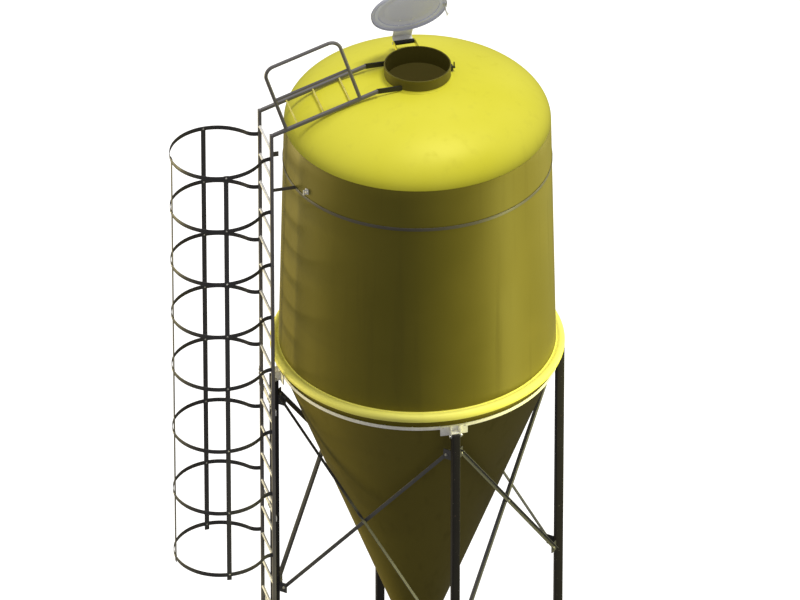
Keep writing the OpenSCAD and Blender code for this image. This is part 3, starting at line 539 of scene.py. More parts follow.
zincLook = tones(
    dark=(228, 227, 222), light=(249, 248, 243), bloom=(250, 249, 246),
    spangle=62.0, rough=0.46, metal=0.04,
)
paleZincLook = tones(
    zincLook, dark=(222, 223, 226), light=(240, 241, 243), bloom=(244, 244, 246),
)
rungLook = tones(
    zincLook, dark=(216, 216, 220), light=(240, 240, 243), spangle=90.0, metal=0.05,
)
roofRungLook = tones(
    rungLook, dark=(196, 186, 84), light=(220, 210, 108), bloom=(226, 218, 130),
)
boltLook = tones(
    zincLook, dark=(150, 150, 146), light=(196, 194, 184),
    spangle=140.0, metal=0.55, rough=0.36,
)
gateLook = tones(zincLook, dark=(138, 138, 134), light=(186, 184, 176), spangle=50.0)
bladeLook = tones(light=(176, 178, 180), dark=(120, 122, 126), rough=0.3, metal=0.75)
gasketLook = tones(
    colour=(188, 192, 206), faded=(196, 199, 210), pore=(140, 141, 146),
    rough=0.82,
)

# the olive, neck and hopper gelcoats are the yellow one darkened as painted shade, and the bead's is made
# paler as a painted highlight
yellowShell = moulded("yellow gelcoat", yellowLook)
shadedOliveShell = moulded("gelcoat with olive painted shade", shadedOliveLook)
shadedNeckShell = moulded("neck gelcoat with painted shade", shadedNeckLook)
highlitBeadShell = moulded("bead gelcoat with painted highlight", highlitBeadLook)
insideShell = moulded("bare laminate", insideLook)
hopperShell = moulded("hopper gelcoat with painted shade", shadedHopperLook)
greyShell = moulded("grey lid gelcoat", lidLook)
legPaint = painted("leg enamel", legLook)
bracePaint = painted("brace enamel", braceLook)
ladderPaint = painted("ladder enamel", ladderLook)
cagePaint = painted("cage enamel", cageLook)
bandPaint = painted("band enamel", bandLook)
blackPaint = painted("black fittings", blackLook)
ringZinc = galvanised("ring zinc", zincLook)
paleZinc = galvanised("pale zinc", paleZincLook)
rungZinc = galvanised("rung zinc", rungLook)
yellowZinc = galvanised("yellow zinc", roofRungLook)
boltZinc = galvanised("bolt zinc", boltLook)
gateZinc = galvanised("gate zinc", gateLook)
bladeSteel = brushedSteel("blade sheet", bladeLook)
spongeRubber = rubbery("sponge rubber", gasketLook)
print("finishes made:", len(bpy.data.materials))

vessel = {
    "foot": 1.2, "rim": 1.14, "wall": 0.008, "lip": 1.2137, "lipHeight": 0.008, "fillet": 0.010,
    "dome": 0.450, "collar": 0.016, "bead": 0.039, "beadRise": 0.121, "beadFillet": 0.009,
    "neckWall": 0.006, "neckLip": 0.0065, "hopperAngle": 20.4, "shoulder": 0.0105,
    "ringWeb": 0.0083, "ringFlange": 0.008, "flangeBolts": 32, "turns": 320,
}
band = {"thick": 0.004, "earGap": 0.0065, "earOut": 0.034, "earSide": 0.0085, "bolt": 0.005, "grip": 0.021}
barrelLow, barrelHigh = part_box("barrel")
baseZ, rimZ = barrelLow.z, barrelHigh.z
taper = (vessel["foot"] - vessel["rim"]) / (rimZ - baseZ)


def wallAt(rise):
    return vessel["foot"] - taper * rise


def makeBarrel():
    wall, lip, top, fillet = vessel["wall"], vessel["lip"], vessel["lipHeight"], vessel["fillet"]
    height = rimZ - baseZ
    hollow = bend((wallAt(top) + fillet, baseZ + top + fillet), fillet, 270, 180, 6)
    outer = [(wallAt(z), baseZ + z) for z in np.linspace(top + fillet + 0.01, height - 0.004, 24)]
    inner = [(wallAt(z) - wall, baseZ + z) for z in np.linspace(height - 0.002, 0.0, 24)]
    flange = [(lip - 0.002, baseZ), (lip, baseZ + 0.002)]
    flange += [(lip, baseZ + top - 0.0025), (lip - 0.0025, baseZ + top)]
    rim = [(wallAt(height) - 0.0012, rimZ - 0.0004), (wallAt(height) - 0.006, rimZ - 0.0004)]
    loop = np.concatenate([flange, hollow, outer, rim, inner])
    worn = np.zeros(len(loop))
    worn[:len(flange)] = 0.8
    shell = revolve(loop, vessel["turns"], worn)
    piece("barrelShell", shell, ["barrel"], shadedOliveShell, inside=insideShell)


def makeDome():
    # the shell is half an ellipse: radius = a * cos(t), height = b * sin(t)
    a, b, wall, soft = vessel["rim"], vessel["dome"], vessel["wall"], vessel["collar"]
    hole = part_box("manhole_neck")[1].x + 0.0004
    stop = math.acos(hole / a)
    t = np.linspace(0.006, stop - 0.012, 96)
    outer = np.stack([a * np.cos(t), rimZ + b * np.sin(t)], -1)
    collar = bend((hole + soft, outer[-1, 1] + 0.0195), soft, 262, 182, 6)
    s = np.linspace(math.acos(hole / (a - wall)), 0, 64)
    inner = np.stack([(a - wall) * np.cos(s), rimZ + (b - wall) * np.sin(s)], -1)
    loop = np.concatenate([[(a - 0.0016, rimZ), (a - 0.0002, rimZ + 0.0012)], outer, collar, inner])
    shell = revolve(loop, vessel["turns"])
    piece("roofDome", shell, ["roof_dome"], yellowShell, inside=insideShell)


def makeBead():
    # a half-round bulge with a fillet at each side, where both circles touch
    bulge, f, z0 = vessel["bead"], vessel["beadFillet"], baseZ + vessel["beadRise"]
    wall = wallAt(vessel["beadRise"]) - 0.001
    mid = wallAt(vessel["beadRise"]) + bulge - 0.003
    rise = math.sqrt((bulge + f) ** 2 - (mid - wall - f) ** 2)
    lean = math.degrees(math.atan2(rise, wall + f - mid))
    top = bend((wall + f, z0 + rise), f, 180, lean + 180, 7)
    belly = bend((mid, z0), bulge, lean, -lean, 60)
    bottom = bend((wall + f, z0 - rise), f, 180 - lean, 180, 7)
    inside = [(wall - 0.003, z0 - rise), (wall - 0.003, z0 + rise)]
    loop = np.concatenate([top, belly[1:-1], bottom, inside])
    piece("rolledBead", revolve(loop, vessel["turns"]), ["rolled_bead"], highlitBeadShell)


def makeNeck():
    low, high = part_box("manhole_neck")
    outer, wall, lip = high.x, vessel["neckWall"], vessel["neckLip"]
    rim = bend((outer - wall / 2, high.z - lip), lip, -40, 220, 16)
    outside = [(outer, low.z)] + [(outer, z) for z in np.linspace(low.z + 0.01, high.z - 0.02, 8)]
    inside = [(outer - wall, z) for z in np.linspace(high.z - 0.02, low.z, 8)]
    loop = np.concatenate([outside, rim, inside])
    worn = np.zeros(len(loop))
    worn[len(outside):-len(inside)] = 0.5
    piece("manholeNeck", revolve(loop, 160, worn), ["manhole_neck"], shadedNeckShell)


def makeHopper():
    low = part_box("hopper_cone")[0].z
    angle = math.radians(vessel["hopperAngle"])
    tilt, thick, foot = math.tan(angle), vessel["wall"] / math.cos(angle), vessel["foot"]
    lip, under, soft = vessel["lip"], baseZ - vessel["lipHeight"], vessel["shoulder"]
    flange = [(lip, baseZ - 0.0015), (lip, under + 0.002), (lip - 0.002, under)]
    shoulder = bend((foot - tilt * 0.02 + 0.011, under - soft), soft, 90, 160, 5)
    outer = [(foot - tilt * (baseZ - z), z) for z in np.linspace(under - 0.02, low + 0.001, 30)]
    inner = [(foot - thick - tilt * (baseZ - z), z) for z in np.linspace(low, baseZ, 30)]
    loop = np.concatenate([flange, shoulder, outer, inner])
    shell = revolve(loop, vessel["turns"])
    piece("hopperShell", shell, ["hopper_cone"], hopperShell, inside=insideShell)


def makeRing():
    low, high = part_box("support_ring")
    out, web, seat = high.x, high.x - vessel["ringWeb"], vessel["foot"] + 0.0005
    shelf = low.z + vessel["ringFlange"]
    corners = [(out, low.z), (out, high.z), (web, high.z), (web, shelf), (seat, shelf), (seat, low.z)]
    loop, worn = softCorners(corners, [0.003, 0.003, 0.003, 0.003, 0.002, 0.002])
    ring = revolve(loop, vessel["turns"], worn)
    piece("supportRing", ring, ["support_ring"], ringZinc)
    count = vessel["flangeBolts"]
    small = join([
        disc(0.0066, 0.0, 0.0015), hexRings(0.0062, 0.0015, 0.0055, 0.001),
        disc(0.0039, -0.03, 0.0, 12), disc(0.0066, -0.0262, -0.0247),
        hexRings(0.0062, -0.0262, -0.0315, 0.001),
    ])
    seat = shift(vessel["foot"] + 0.007, 0, baseZ + vessel["lipHeight"])
    spots = [turn("z", (k + 0.5) * 360 / count) @ seat for k in range(count)]
    piece("flangeBolts", place(small, spots), ["flange_bolts"], boltZinc)


def makeBand():
    low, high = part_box("band_strap")
    t, out = band["thick"], band["earOut"]
    middle, tall, inner = (low.z + high.z) / 2, high.z - low.z, wallAt(low.z - baseZ) + 0.0004
    mid = inner + t / 2
    half = math.degrees(math.asin(band["earGap"] / mid))
    a = np.radians(np.linspace(half, 360 - half, 320))
    path = np.stack([mid * np.cos(a), mid * np.sin(a), np.full(len(a), middle)], -1)
    outwardSide = np.stack([np.cos(a), np.sin(a), 0 * a], -1)
    hoop = sweep(bar(t, tall, 0.0016, 3), path, outwardSide, (0, 0, 1))
    ears = [slab((out, t, tall), (inner + out / 2, y, middle), 0.006, 0.001, "y")
            for y in (-band["earSide"], band["earSide"])]
    spot = shift(inner + out / 2 + 0.002, -band["grip"] / 2, middle) @ turn("x", -90)
    clamp = place(bolt(band["bolt"], band["grip"]), spot)
    piece("bandStrap", join([hoop, *ears]), ["band_strap"], bandPaint)
    piece("bandBolt", clamp, [], boltZinc)


makeBarrel()
makeDome()
makeBead()
makeNeck()
makeHopper()
makeRing()
makeBand()
dress(ringZinc, "lifting_lugs", "leg_head_brackets")
print("vessel made")

legs = {
    "side": 0.070, "corner": 0.007, "gusset": 0.008, "headBolt": 0.008, "headDrop": 0.020,
    "braceWidth": 0.032, "braceThick": 0.004, "braceBolt": 0.006, "braceEnd": 0.040,
    "braceDrop": 0.252, "braceFoot": 1.757, "braceClear": 0.016,
}
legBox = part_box("leg_right")
legRadius = (legBox[0].x + legBox[1].x) / 2
quarterTurns = {"leg_right": 0, "leg_back": 90, "leg_left": 180, "leg_front": 270}


def makeLegs():
    low, high = legBox[0].z, legBox[1].z
    for node, degrees in quarterTurns.items():
        path = [(0, 0, low), (0, 0, high)]
        tube = sweep(bar(legs["side"], legs["side"], legs["corner"], 5), path, (1, 0, 0), (0, 1, 0), 0.001)
        tube = place(tube, turn("z", degrees) @ shift(legRadius))
        piece("leg" + node[4:].title(), tube, [node], legPaint)
    reach = legs["side"] / 2 + 0.001
    around = closedBox(2 * reach, 2 * reach, 0.008, 5)
    path = np.c_[around, np.full(len(around), low + 0.002)]
    ringWeld = weld(path, (0, 0, 1), 0.0045)
    spots = [turn("z", k * 90) @ shift(legRadius) for k in range(4)]
    piece("footWelds", place(ringWeld, spots), [], legPaint)
    headBolt = bolt(legs["headBolt"], legs["side"] + 0.018)
    drop = shift(legRadius, -legs["side"] / 2 - 0.009, high - legs["headDrop"]) @ turn("x", -90)
    heads = place(headBolt, [turn("z", k * 90) @ drop for k in range(4)])
    piece("headBolts", heads, ["head_bolts"], boltZinc)


def faceFrame(k):
    # +X along a face between two legs, +Y outwards
    return turn("z", 180 + 90 * k) @ shift(legRadius) @ turn("z", 135) @ flip("y")


faceLength = legRadius * math.sqrt(2)
braceStart = legs["side"] * math.sqrt(2) / 2 + legs["braceClear"]
braceHigh, braceLow = baseZ - legs["braceDrop"], legs["braceFoot"]
braceRun, braceFall = faceLength - 2 * braceStart, braceHigh - braceLow
braceLength = math.hypot(braceRun, braceFall)
braceLean = math.degrees(math.atan2(braceFall, braceRun))


def braceFrame(falls):
    # +X down a brace, from the near leg where it falls that way and from the far leg otherwise
    if falls:
        return shift(braceStart, 0, braceHigh) @ turn("y", braceLean)
    return shift(faceLength - braceStart, 0, braceHigh) @ flip("x") @ turn("y", braceLean)


def makeBraces():
    w, t = legs["braceWidth"], legs["braceThick"]
    corners = [(0, 0), (t, 0), (t, w - t), (w, w - t), (w, w), (0, w)]
    outline, worn = softCorners(corners, [0.0008, 0.0018, 0.0032, 0.0018, 0.0008, 0.003])

    def angleBar(inset):
        return outline * (1 - inset / w) + inset / 2, worn

    profile = sweep(angleBar, [(0, 0, 0), (braceLength, 0, 0)], (0, 1, 0), (0, 0, 1), 0.0006)
    faces = ["front_left", "front_right", "back_right", "back_left"]
    for k, face in enumerate(faces):
        for outer in (True, False):
            side = np.eye(4) if outer else flip("y")
            spot = faceFrame(k) @ braceFrame(outer) @ side @ shift(0, legs["gusset"] / 2, -w / 2)
            layer = "outer" if outer else "inner"
            name = "brace" + "".join(word.title() for word in [*face.split("_"), layer])
            piece(name, place(profile, spot), [f"brace_{face}_{layer}"], bracePaint)
    head = legs["gusset"] / 2 + t
    single, double = bolt(legs["braceBolt"], t + legs["gusset"]), bolt(legs["braceBolt"], 2 * head)
    spots, crosses = [], []
    for k in range(4):
        for falls in (True, False):
            for along in (legs["braceEnd"], braceLength - legs["braceEnd"]):
                spot = faceFrame(k) @ braceFrame(falls) @ shift(along) @ turn("x", -90)
                spots.append(spot @ (shift(0, 0, head) @ flip("z") if falls else shift(0, 0, -head)))
        middle = faceFrame(k) @ shift(faceLength / 2, 0, (braceHigh + braceLow) / 2)
        crosses.append(middle @ turn("x", -90) @ shift(0, 0, -head))
    spacer = disc(0.0096, t, t + legs["gusset"], 24, 0.0005)
    boltsAll = join([place(single, spots), place(join([double, spacer]), crosses)])
    piece("braceBolts", boltsAll, ["brace_bolts"], boltZinc)


makeLegs()
makeBraces()
dress(bracePaint, "brace_gussets", "base_plates")
print("legs and braces made")

ladder = {
    "gap": 0.410, "side": 0.030, "corner": 0.004, "rung": 0.0125, "roofRung": 0.008, "pitch": 0.280,
    "foot": 0.090, "footThick": 0.010, "ties": (0.400, 1.500, 2.600), "topTie": 0.320, "tieTall": 0.050,
}
handrail = {"height": 0.655, "corner": 0.090, "span": 0.680, "first": 0.138, "tube": 0.016, "midTube": 0.013}
upperLow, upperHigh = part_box("ladder_rails_upper")
ladderX = (upperLow.x + upperHigh.x) / 2
railY = ladder["gap"] / 2
railJoint = upperLow.z
barLow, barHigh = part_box("roof_end_bars")
endBarX, endBarZ = barLow.x, (barLow.z + barHigh.z) / 2
roofLow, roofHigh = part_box("roof_rails")
slope = 0.0
for rounds in range(8):
    # the rails' upright depth grows as they lean, so their slope is found in a few rounds
    depth = ladder["side"] / math.cos(slope)
    slope = math.atan2(roofHigh.z - roofLow.z - depth, roofHigh.x - roofLow.x)
railTop = endBarZ - (endBarX - ladderX) * math.tan(slope)


def makeRails():
    side, foot, thick = ladder["side"], ladder["foot"], ladder["footThick"]
    outline = bar(side, side, ladder["corner"])
    lower, upper, splices = [], [], []
    for y in (-railY, railY):
        low, joint, high = (ladderX, y, thick), (ladderX, y, railJoint), (ladderX, y, upperHigh.z)
        lower.append(sweep(outline, [low, joint], (1, 0, 0), (0, 1, 0), 0.0012))
        lower.append(slab((foot, foot, thick), (ladderX, y, thick / 2), 0.006))
        around = closedBox(side + 0.002, side + 0.002, 0.005) + (ladderX, y)
        lower.append(weld(np.c_[around, np.full(len(around), thick + 0.0015)], (0, 0, 1), 0.0035))
        upper.append(sweep(outline, [joint, high], (1, 0, 0), (0, 1, 0), 0.0012))
        back = (ladderX - side / 2 - 0.0017, y, railJoint)
        splices.append(slab((0.0035, 0.024, 0.200), back, 0.004, 0.001, "x"))
    piece("ladderRailsLower", join(lower), ["ladder_rails_lower"], ladderPaint)
    piece("ladderRailsUpper", join(upper), ["ladder_rails_upper"], ladderPaint)
    piece("railSplices", join(splices), [], ladderPaint)
    small = join([disc(0.0085, 0.0, 0.0015), hexRings(0.0075, 0.0015, 0.0065, 0.001)])
    spots = [shift(ladderX - side / 2 - 0.0034, y, railJoint + z) @ turn("y", -90)
             for y in (-railY, railY) for z in (-0.07, -0.03, 0.03, 0.07)]
    piece("spliceBolts", place(small, spots), [], boltZinc)


def rung(radius, length, ridges):
    # a round bar whose ridged middle grips a boot: the radius follows a wave along it, and swells
    # into a weld at each end
    at = np.linspace(-length / 2, length / 2, 120)
    inner = np.clip((length / 2 - 0.03 - np.abs(at)) / 0.01, 0, 1)
    wave = 1 + ridges * inner * np.sign(np.sin(at * 2 * math.pi / 0.011))
    fillet = 0.22 * np.exp(-(length / 2 - np.abs(at)) / 0.004)
    path = np.stack([0 * at, at, 0 * at], -1)
    return sweep(rod(radius, 20), path, (1, 0, 0), (0, 0, 1), swell=wave - ridges / 2 + fillet)


def makeRungs():
    low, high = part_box("ladder_rungs")
    length = ladder["gap"] - ladder["side"]
    levels = np.arange(low.z + ladder["rung"], high.z, ladder["pitch"])
    one = rung(ladder["rung"] * 0.975, length, 0.045)
    rungs = place(one, [shift(ladderX, 0, z) for z in levels])
    piece("ladderRungs", rungs, ["ladder_rungs"], rungZinc)
    small = rung(ladder["roofRung"] * 0.98, length, 0.04)
    run, climb = endBarX - ladderX, endBarZ - railTop
    spots = [shift(ladderX + run * k / 4, 0, railTop + climb * k / 4) for k in (1, 2, 3)]
    piece("roofRungs", place(small, spots), ["roof_rungs"], yellowZinc)


def makeTies():
    low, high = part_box("ladder_ties")
    tall = ladder["tieTall"]
    size, middle = (high.x - low.x, high.y - low.y, tall), (low.x + high.x) / 2
    bars, bolts = [], []
    small = join([disc(0.013, 0.0, 0.002), hexRings(0.012, 0.002, 0.010, 0.0015)])
    for z in (*ladder["ties"], baseZ - ladder["topTie"]):
        bars.append(slab(size, (middle, 0, z + tall / 2), 0.004, 0.0012, "x"))
        bolts += [shift(low.x, y, z + tall / 2) @ turn("y", -90) for y in (-0.020, 0.020)]
    piece("ladderTies", join(bars), ["ladder_ties"], rungZinc)
    piece("tieBolts", place(small, bolts), [], boltZinc)


def makeRoofRails():
    side = ladder["side"]
    tall = side / math.cos(slope)
    x = np.array([ladderX + side / 2, endBarX])
    z = railTop + (x - ladderX) * math.tan(slope)
    around = closedBox(side + 0.001, tall + 0.001, 0.004)
    parts = []
    for y in (-railY, railY):
        path = np.stack([x, [y, y], z], -1)
        parts.append(sweep(bar(side, tall, ladder["corner"]), path, (0, 1, 0), (0, 0, 1), 0.001))
        ringPath = np.stack([np.full(len(around), endBarX), around[:, 0] + y, around[:, 1] + endBarZ], -1)
        parts.append(weld(ringPath, (1, 0, 0), 0.003))
    piece("roofRails", join(parts), ["roof_rails"], ladderPaint)


def makeHandrail():
    height, corner, span = handrail["height"], handrail["corner"], handrail["span"]
    tube, midTube, first = handrail["tube"], handrail["midTube"], handrail["first"]
    elbow = bend((corner, height - corner), corner, 180, 90, 14)
    foot = ladder["side"] / 2 + 0.0003
    half = np.concatenate([[(0, foot), (0, 0.2), (0, 0.4)], elbow])
    line = np.concatenate([half, (half * (-1, 1) + (span, 0))[::-1]])
    path = np.stack([line[:, 0], 0 * line[:, 0], line[:, 1]], -1)
    main = sweep(rod(tube, 28), path, (0, 1, 0))
    mid = sweep(rod(midTube, 24), [(0.010, 0, height / 2), (span - 0.010, 0, height / 2)], (0, 1, 0))
    welds = [weld(circle(tube, "z") + (x, 0, foot + 0.001), (0, 0, 1), 0.003) for x in (0, span)]
    for x in (tube - 0.001, span - tube + 0.001):
        welds.append(weld(circle(midTube, "x") + (x, 0, height / 2), (1, 0, 0), 0.0025))
    lower = shift(ladderX + first * math.cos(slope), -railY, railTop + first * math.sin(slope))
    spot = lower @ turn("y", -math.degrees(slope))
    rail = place(join([main, mid, *welds]), spot)
    piece("handrail", rail, ["handrail"], ladderPaint)


makeRails()
makeRungs()
makeTies()
makeRoofRails()
makeHandrail()
dress(blackPaint, "roof_end_bars")
dress(bandPaint, "ladder_standoffs")
print("ladder made")

cage = {"radius": 0.404, "reach": 0.427, "height": 0.040, "thick": 0.005, "strap": 0.042, "sideTurn": 3.0}
hoops = [f"cage_hoop_{n}" for n in range(1, 9)]


def makeHoops():
    # a wide arc round the climber, joined to each rail by an arc that bends the other way; the small
    # radius follows from both circles touching: (wide + bend)^2 = out^2 + (railY + bend)^2
    wide, t, h = cage["radius"], cage["thick"], cage["height"]
    out = cage["reach"] - ladder["side"] / 2
    bendR = (out**2 + railY**2 - wide**2) / (2 * (wide - railY))
    mouth = math.degrees(math.atan2(railY + bendR, out))
    line = bend((0, 0), wide, mouth, 360 - mouth, 149)
    foot = bend((out, railY + bendR), bendR, -90, mouth - 180, 23)
    flat = np.concatenate([foot[:-1], line, (foot[:-1] * (1, -1))[::-1]])
    for n, node in enumerate(hoops, 1):
        low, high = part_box(node)
        level = (low.z + high.z) / 2
        path = np.c_[flat + (ladderX - cage["reach"], 0), np.full(len(flat), level)]
        hoop = sweep(bar(h, t, 0.0018, 3), path, (0, 0, 1), ends=0.0008)
        beads = []
        for side in (-1, 1):
            for face in (-1, 1):
                x = ladderX - ladder["side"] / 2 - 0.001
                y = side * railY + face * (t / 2 + 0.0005)
                beads.append(weld([(x, y, level - h / 2), (x, y, level + h / 2)], (1, 0, 0), 0.0028))
        piece(f"cageHoop{n}", join([hoop, *beads]), [node], cagePaint)


def makeStraps():
    w, t = cage["strap"], cage["thick"]
    seat = math.sqrt((cage["radius"] - t / 2) ** 2 - (w / 2) ** 2) - 0.00015 - t / 2
    low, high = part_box("cage_strap_outer")
    spots = []
    levels = [(a.z + b.z) / 2 for a, b in map(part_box, hoops)]
    turns = {"front": 270 - cage["sideTurn"], "outer": 180, "back": 90 + cage["sideTurn"]}
    strap = sweep(bar(t, w, 0.0018, 3), [(seat, 0, low.z), (seat, 0, high.z)], (1, 0, 0), (0, 1, 0), 0.001)
    for name, degrees in turns.items():
        here = shift(ladderX - cage["reach"]) @ turn("z", degrees)
        node = "cage_strap_" + name
        piece("cageStrap" + name.title(), place(strap, here), [node], cagePaint)
        spots += [here @ shift(cage["radius"] + t / 2, 0, z) @ turn("y", 90) for z in levels]
    dome = [(0, 0.0055), (0.004, 0.0050), (0.007, 0.0036), (0.0092, 0.0012), (0.0095, 0.0)]
    shank = [(0.0045, 0.0), (0.0045, -0.0125), (0, -0.0125)]
    nut = place(hexRings(0.0082, 0.0, 0.006, 0.001), shift(0, 0, -0.0108) @ flip("z"))
    head = join([capped(dome + shank, 16), nut])
    piece("cageBolts", place(head, spots), [], boltZinc)


makeHoops()
makeStraps()
print("cage made")

lid = {
    "radius": 0.332, "thick": 0.005, "skirt": 0.022, "seat": 0.010, "open": 62.0,
    "strapWidth": 0.172, "strapThick": 0.006, "knuckle": 0.020, "bore": 0.00805,
}
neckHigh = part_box("manhole_neck")[1]
hinge = next(j["pos_m"] for j in frame["joints"] if j["name"] == "lid_hinge")
lidZ = neckHigh.z + lid["seat"]
opened = shift(0, hinge[1], hinge[2]) @ turn("x", -lid["open"]) @ shift(0, -hinge[1], -hinge[2])


def makeLid():
    wide, t, skirt = lid["radius"], lid["thick"], lid["skirt"]
    top, low = lidZ + t, lidZ - skirt
    crown = [(0.0, top + 0.0025), (0.06, top + 0.0023), (0.12, top + 0.0015), (0.185, top + 0.0003)]
    ridge = [(0.206, 0.0028), (0.212, 0.0042), (0.218, 0.0042), (0.224, 0.0028)]
    swage = [(0.200, top), *((r, top + rise) for r, rise in ridge), (0.230, top)]
    shoulder = bend((wide - 0.010, top - 0.010), 0.010, 90, 0, 8)
    lipRound = bend((wide - 0.0025, low + 0.0025), 0.0025, 0, -180, 8)
    inside = bend((wide - t - 0.006, lidZ - 0.006), 0.006, 0, 90, 6)
    groove = [(0.226, lidZ), (0.220, lidZ + 0.0018), (0.210, lidZ + 0.0018), (0.204, lidZ)]
    under = groove + [(0.12, lidZ), (0.06, lidZ), (0.0, lidZ)]
    profile = np.concatenate([crown, swage, [(wide - 0.03, top)], shoulder, lipRound, inside, under])
    piece("lidCover", place(capped(profile, 200), opened), ["lid_cover"], greyShell, body="lid")
    low, mid, half = lidZ - 0.008, neckHigh.x, 0.015
    corners = [(mid - half, low), (mid + half, low), (mid + half, lidZ), (mid - half, lidZ)]
    loop, worn = softCorners(corners, [0.0035, 0.0035, 0.0006, 0.0006])
    gasket = place(revolve(loop, 160, worn), opened)
    piece("lidGasket", gasket, ["lid_gasket"], spongeRubber, body="lid")


def makeHinge():
    w, t, knuckle = lid["strapWidth"], lid["strapThick"], lid["knuckle"]
    top = lidZ + lid["thick"]
    y0, y1, fold = lid["radius"] - 0.190, hinge[1] + knuckle + t / 2, 0.009
    corner = bend((y1 - fold, top + t / 2 - fold), fold, 90, 0)
    flat, drop = [(y0, top + t / 2), (y0 + 0.05, top + t / 2)], [(y1, hinge[2] + 0.01), (y1, hinge[2])]
    line = np.concatenate([flat, corner, drop])
    path = np.stack([0 * line[:, 0], line[:, 0], line[:, 1]], -1)
    strap = sweep(bar(w, t, 0.0016, 3), path, (1, 0, 0), ends=0.001)
    piece("lidHingeStrap", place(strap, opened), ["lid_hinge_strap"], paleZinc, body="lid")
    dome = [(0, 0.006), (0.006, 0.0055), (0.010, 0.003), (0.0112, 0.0)]
    shank = [(0.0055, -0.0005), (0.0055, -0.016), (0, -0.016)]
    spots = [opened @ shift(x, y, top + t) for x in (-0.055, 0.055) for y in (y0 + 0.035, y0 + 0.125)]
    piece("strapRivets", place(capped(dome + shank, 18), spots), [], paleZinc, body="lid")
    bore = lid["bore"]
    corners = [(bore, -w / 2), (knuckle, -w / 2), (knuckle, w / 2), (bore, w / 2)]
    loop, worn = softCorners(corners, [0.0006, 0.0015, 0.0015, 0.0006])
    tube = place(revolve(loop, 48, worn), opened @ shift(0, hinge[1], hinge[2]) @ turn("y", 90))
    piece("lidKnuckle", tube, ["lid_knuckle"], blackPaint, body="lid")
    low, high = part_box("hinge_pin")
    span = high.x - low.x
    pin = join([
        disc(0.013, -0.001, 0.005, 28),
        disc(0.008, 0.004, span - 0.001, 24),
        disc(0.0125, span - 0.010, span - 0.005, 28),
    ])
    pin = place(pin, shift(low.x, hinge[1], hinge[2]) @ turn("y", 90))
    piece("hingePin", pin, ["hinge_pin"], boltZinc)


makeLid()
makeHinge()
dress(yellowShell, "hinge_arms")
dress(paleZinc, "lid_hasp")
dress(blackPaint, "lid_catch", "catch_lever")
print("lid made")


gate = {
    "side": 0.420, "guide": 0.040, "bolt": 0.005, "boltGrip": 0.0228,
    "handleBar": 0.0105, "grip": 0.012, "gripHalf": 0.042, "bend": 0.026, "post": 0.070,
}


def makeGate():
    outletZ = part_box("outlet_flange")[1].z
    spot = (gate["side"] - gate["guide"]) / 2
    one = bolt(gate["bolt"], gate["boltGrip"])
    spots = [shift(x * spot, y * spot, outletZ) @ flip("z") for x in (-1, 1) for y in (-1, 0, 1)]
    piece("gateBolts", place(one, spots), ["gate_bolts"], boltZinc)
    low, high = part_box("gate_handle")
    thick, grip, half = gate["handleBar"], gate["grip"], gate["gripHalf"]
    bendR, post = gate["bend"], gate["post"]
    z = (low.z + high.z) / 2
    back, front = high.y, low.y + grip
    elbow = bend((post - bendR, front + bendR), bendR, 0, -90)
    right = np.concatenate([[(post, back), (post, (back + front) / 2)], elbow])
    line = np.concatenate([right, (right * (-1, 1))[::-1]])
    path = np.c_[line, np.full(len(line), z)]
    bow = sweep(rod(thick, 24), path, (0, 0, 1))
    welds = [weld(circle(thick, "y") + (x, back - 0.001, z), (0, 1, 0), 0.003) for x in (-post, post)]
    sleeve = sweep(rod(grip, 24), [(-half, front, z), (half, front, z)], (0, 1, 0), ends=0.002)
    piece("gateHandle", join([bow, sleeve, *welds]), ["gate_handle"], blackPaint, body="gate")


makeGate()
dress(gateZinc, "outlet_flange", "gate_body")
dress(bladeSteel, "gate_blade")
print("gate made")

stage = {
    "azimuth": -14.8, "elevation": 33.5, "target": (-0.144, 0.038, 4.536), "width": 6.88, "lens": 600.0,
    "film": 36.0, "floor": 400.0, "glow": 0.4, "bounce": 0.2, "ambient": 0.46, "sun": 1.85, "sunSpread": 22.0,
    "barrel": (0.0, 0.0, 3.8), "manhole": (0.0, 0.5, 7.2),
}
# each panel: watts, width and height, what it is aimed at, how far it stands from there to the camera's
# right, front and up, and its colour
panels = {
    "right": (340.0, 2.5, 5.0, "barrel", (8.7, -5.0, 0.0), (0.97, 0.95, 0.4)),
    "streak": (370.0, 0.8, 6.6, "barrel", (5.2, 1.6, 0.0), (1.0, 0.96, 0.35)),
    "left": (1040.0, 5.0, 4.0, "barrel", (-10.0, -2.2, 0.0), (1.0, 0.86, 0.42)),
    "lid": (160.0, 2.0, 2.0, "manhole", (0.0, 6.0, -1.0), (1.0, 0.99, 1.0)),
}


def axes():
    # the camera's right, up and back directions
    a, e = math.radians(stage["azimuth"]), math.radians(stage["elevation"])
    back = Vector((math.sin(a) * math.cos(e), -math.cos(a) * math.cos(e), math.sin(e)))
    right = Vector((math.cos(a), math.sin(a), 0))
    return right, back.cross(right), back


def makeCamera():
    back = axes()[2]
    camera = bpy.data.objects.new("camera", bpy.data.cameras.new("camera"))
    bpy.context.scene.collection.objects.link(camera)
    distance = stage["width"] * stage["lens"] / stage["film"]
    camera.data.lens = stage["lens"]
    camera.data.clip_end = 4 * distance
    camera.location = Vector(stage["target"]) + back * distance
    camera.rotation_euler = back.to_track_quat("Z", "Y").to_euler()
    bpy.context.scene.camera = camera


def aimed(name, data, spot, at):
    lamp = bpy.data.objects.new(name, data)
    bpy.context.scene.collection.objects.link(lamp)
    lamp.location = spot
    lamp.rotation_euler = (Vector(spot) - Vector(at)).to_track_quat("Z", "Y").to_euler()
    lamp.visible_camera = False
    return lamp


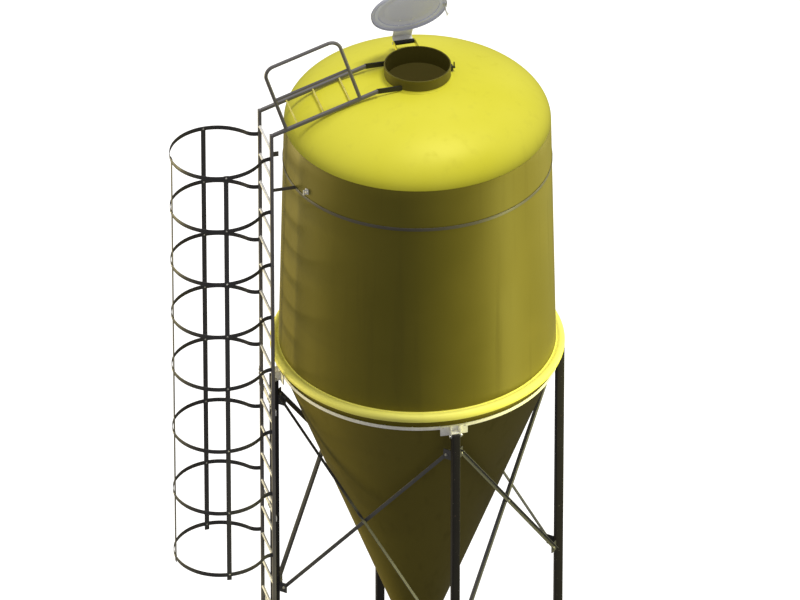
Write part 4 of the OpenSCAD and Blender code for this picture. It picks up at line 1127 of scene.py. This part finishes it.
def link(lamp, state, names):
    # the lamp leaves out the pieces named, or lights those alone
    kept = bpy.data.collections.new(lamp.name + " receivers")
    for name in names:
        kept.objects.link(bpy.data.objects[name])
    for entry in kept.collection_objects:
        entry.light_linking.link_state = state
    lamp.light_linking.receiver_collection = kept


def makeLights():
    right, up, back = axes()
    front = Vector((back.x, back.y, 0)).normalized()
    sun = bpy.data.lights.new("top", "SUN")
    sun.energy, sun.angle, sun.color = stage["sun"], math.radians(stage["sunSpread"]), (1.0, 0.99, 0.95)
    aimed("top", sun, Vector((0, 0, 20)) + right * 3.2 - front * 0.3, (0, 0, 4))
    lamps = {}
    for name, (power, width, height, aim, away, colour) in panels.items():
        data = bpy.data.lights.new(name, "AREA")
        data.shape, data.size, data.size_y = "RECTANGLE", width, height
        data.energy, data.color = power, colour
        at = Vector(stage[aim])
        lamps[name] = aimed(name, data, at + right * away[0] + front * away[1] + up * away[2], at)
    lidPieces = ["lidCover", "lidGasket", "lidHingeStrap"]
    plain = ["floor", "roofDome", *lidPieces]
    link(lamps["right"], "EXCLUDE", [*plain, "hopperShell"])
    link(lamps["streak"], "EXCLUDE", [*plain, "hopperShell"])
    link(lamps["left"], "EXCLUDE", plain)
    link(lamps["lid"], "INCLUDE", lidPieces)


def makeFloor():
    # pale and even to the camera, and darker to the light that it sends back
    half = stage["floor"] / 2
    mesh = bpy.data.meshes.new("floor")
    corners = [(-half, -half, 0), (half, -half, 0), (half, half, 0), (-half, half, 0)]
    mesh.from_pydata(corners, [], [(0, 1, 2, 3)])
    floor = bpy.data.objects.new("floor", mesh)
    bpy.context.scene.collection.objects.link(floor)
    floor.location.z = -0.001
    r = Recipe("floor")
    seen = r.node("ShaderNodeLightPath", out="Is Camera Ray")
    pale = r.node("ShaderNodeBsdfDiffuse", inputs={"Color": (0.93, 0.93, 0.93, 1)})
    glow = r.node("ShaderNodeEmission", inputs={"Color": (1, 1, 1, 1), "Strength": stage["glow"]})
    lit = r.node("ShaderNodeAddShader", inputs={0: pale, 1: glow})
    b = stage["bounce"]
    dull = r.node("ShaderNodeBsdfDiffuse", inputs={"Color": (b, b, b, 1)})
    mesh.materials.append(r.output(r.node("ShaderNodeMixShader", inputs={0: seen, 1: dull, 2: lit})))


def makeWorld():
    world = bpy.data.worlds.new("studio")
    bpy.context.scene.world = world
    world.use_nodes = True
    tree = world.node_tree
    tree.nodes.clear()
    seen = tree.nodes.new("ShaderNodeLightPath").outputs["Is Camera Ray"]
    mix = tree.nodes.new("ShaderNodeMixShader")
    tree.links.new(seen, mix.inputs[0])
    # soft light on the part, and plain white behind it for the camera
    skies = [((1.0, 0.98, 0.97, 1), stage["ambient"]), ((1, 1, 1, 1), 1.0)]
    for slot, (colour, strength) in enumerate(skies, 1):
        sky = tree.nodes.new("ShaderNodeBackground")
        sky.inputs["Color"].default_value = colour
        sky.inputs["Strength"].default_value = strength
        tree.links.new(sky.outputs[0], mix.inputs[slot])
    tree.links.new(mix.outputs[0], tree.nodes.new("ShaderNodeOutputWorld").inputs["Surface"])


makeCamera()
makeFloor()
makeLights()
makeWorld()
bpy.context.scene.view_settings.view_transform = "Standard"
print("stage made")
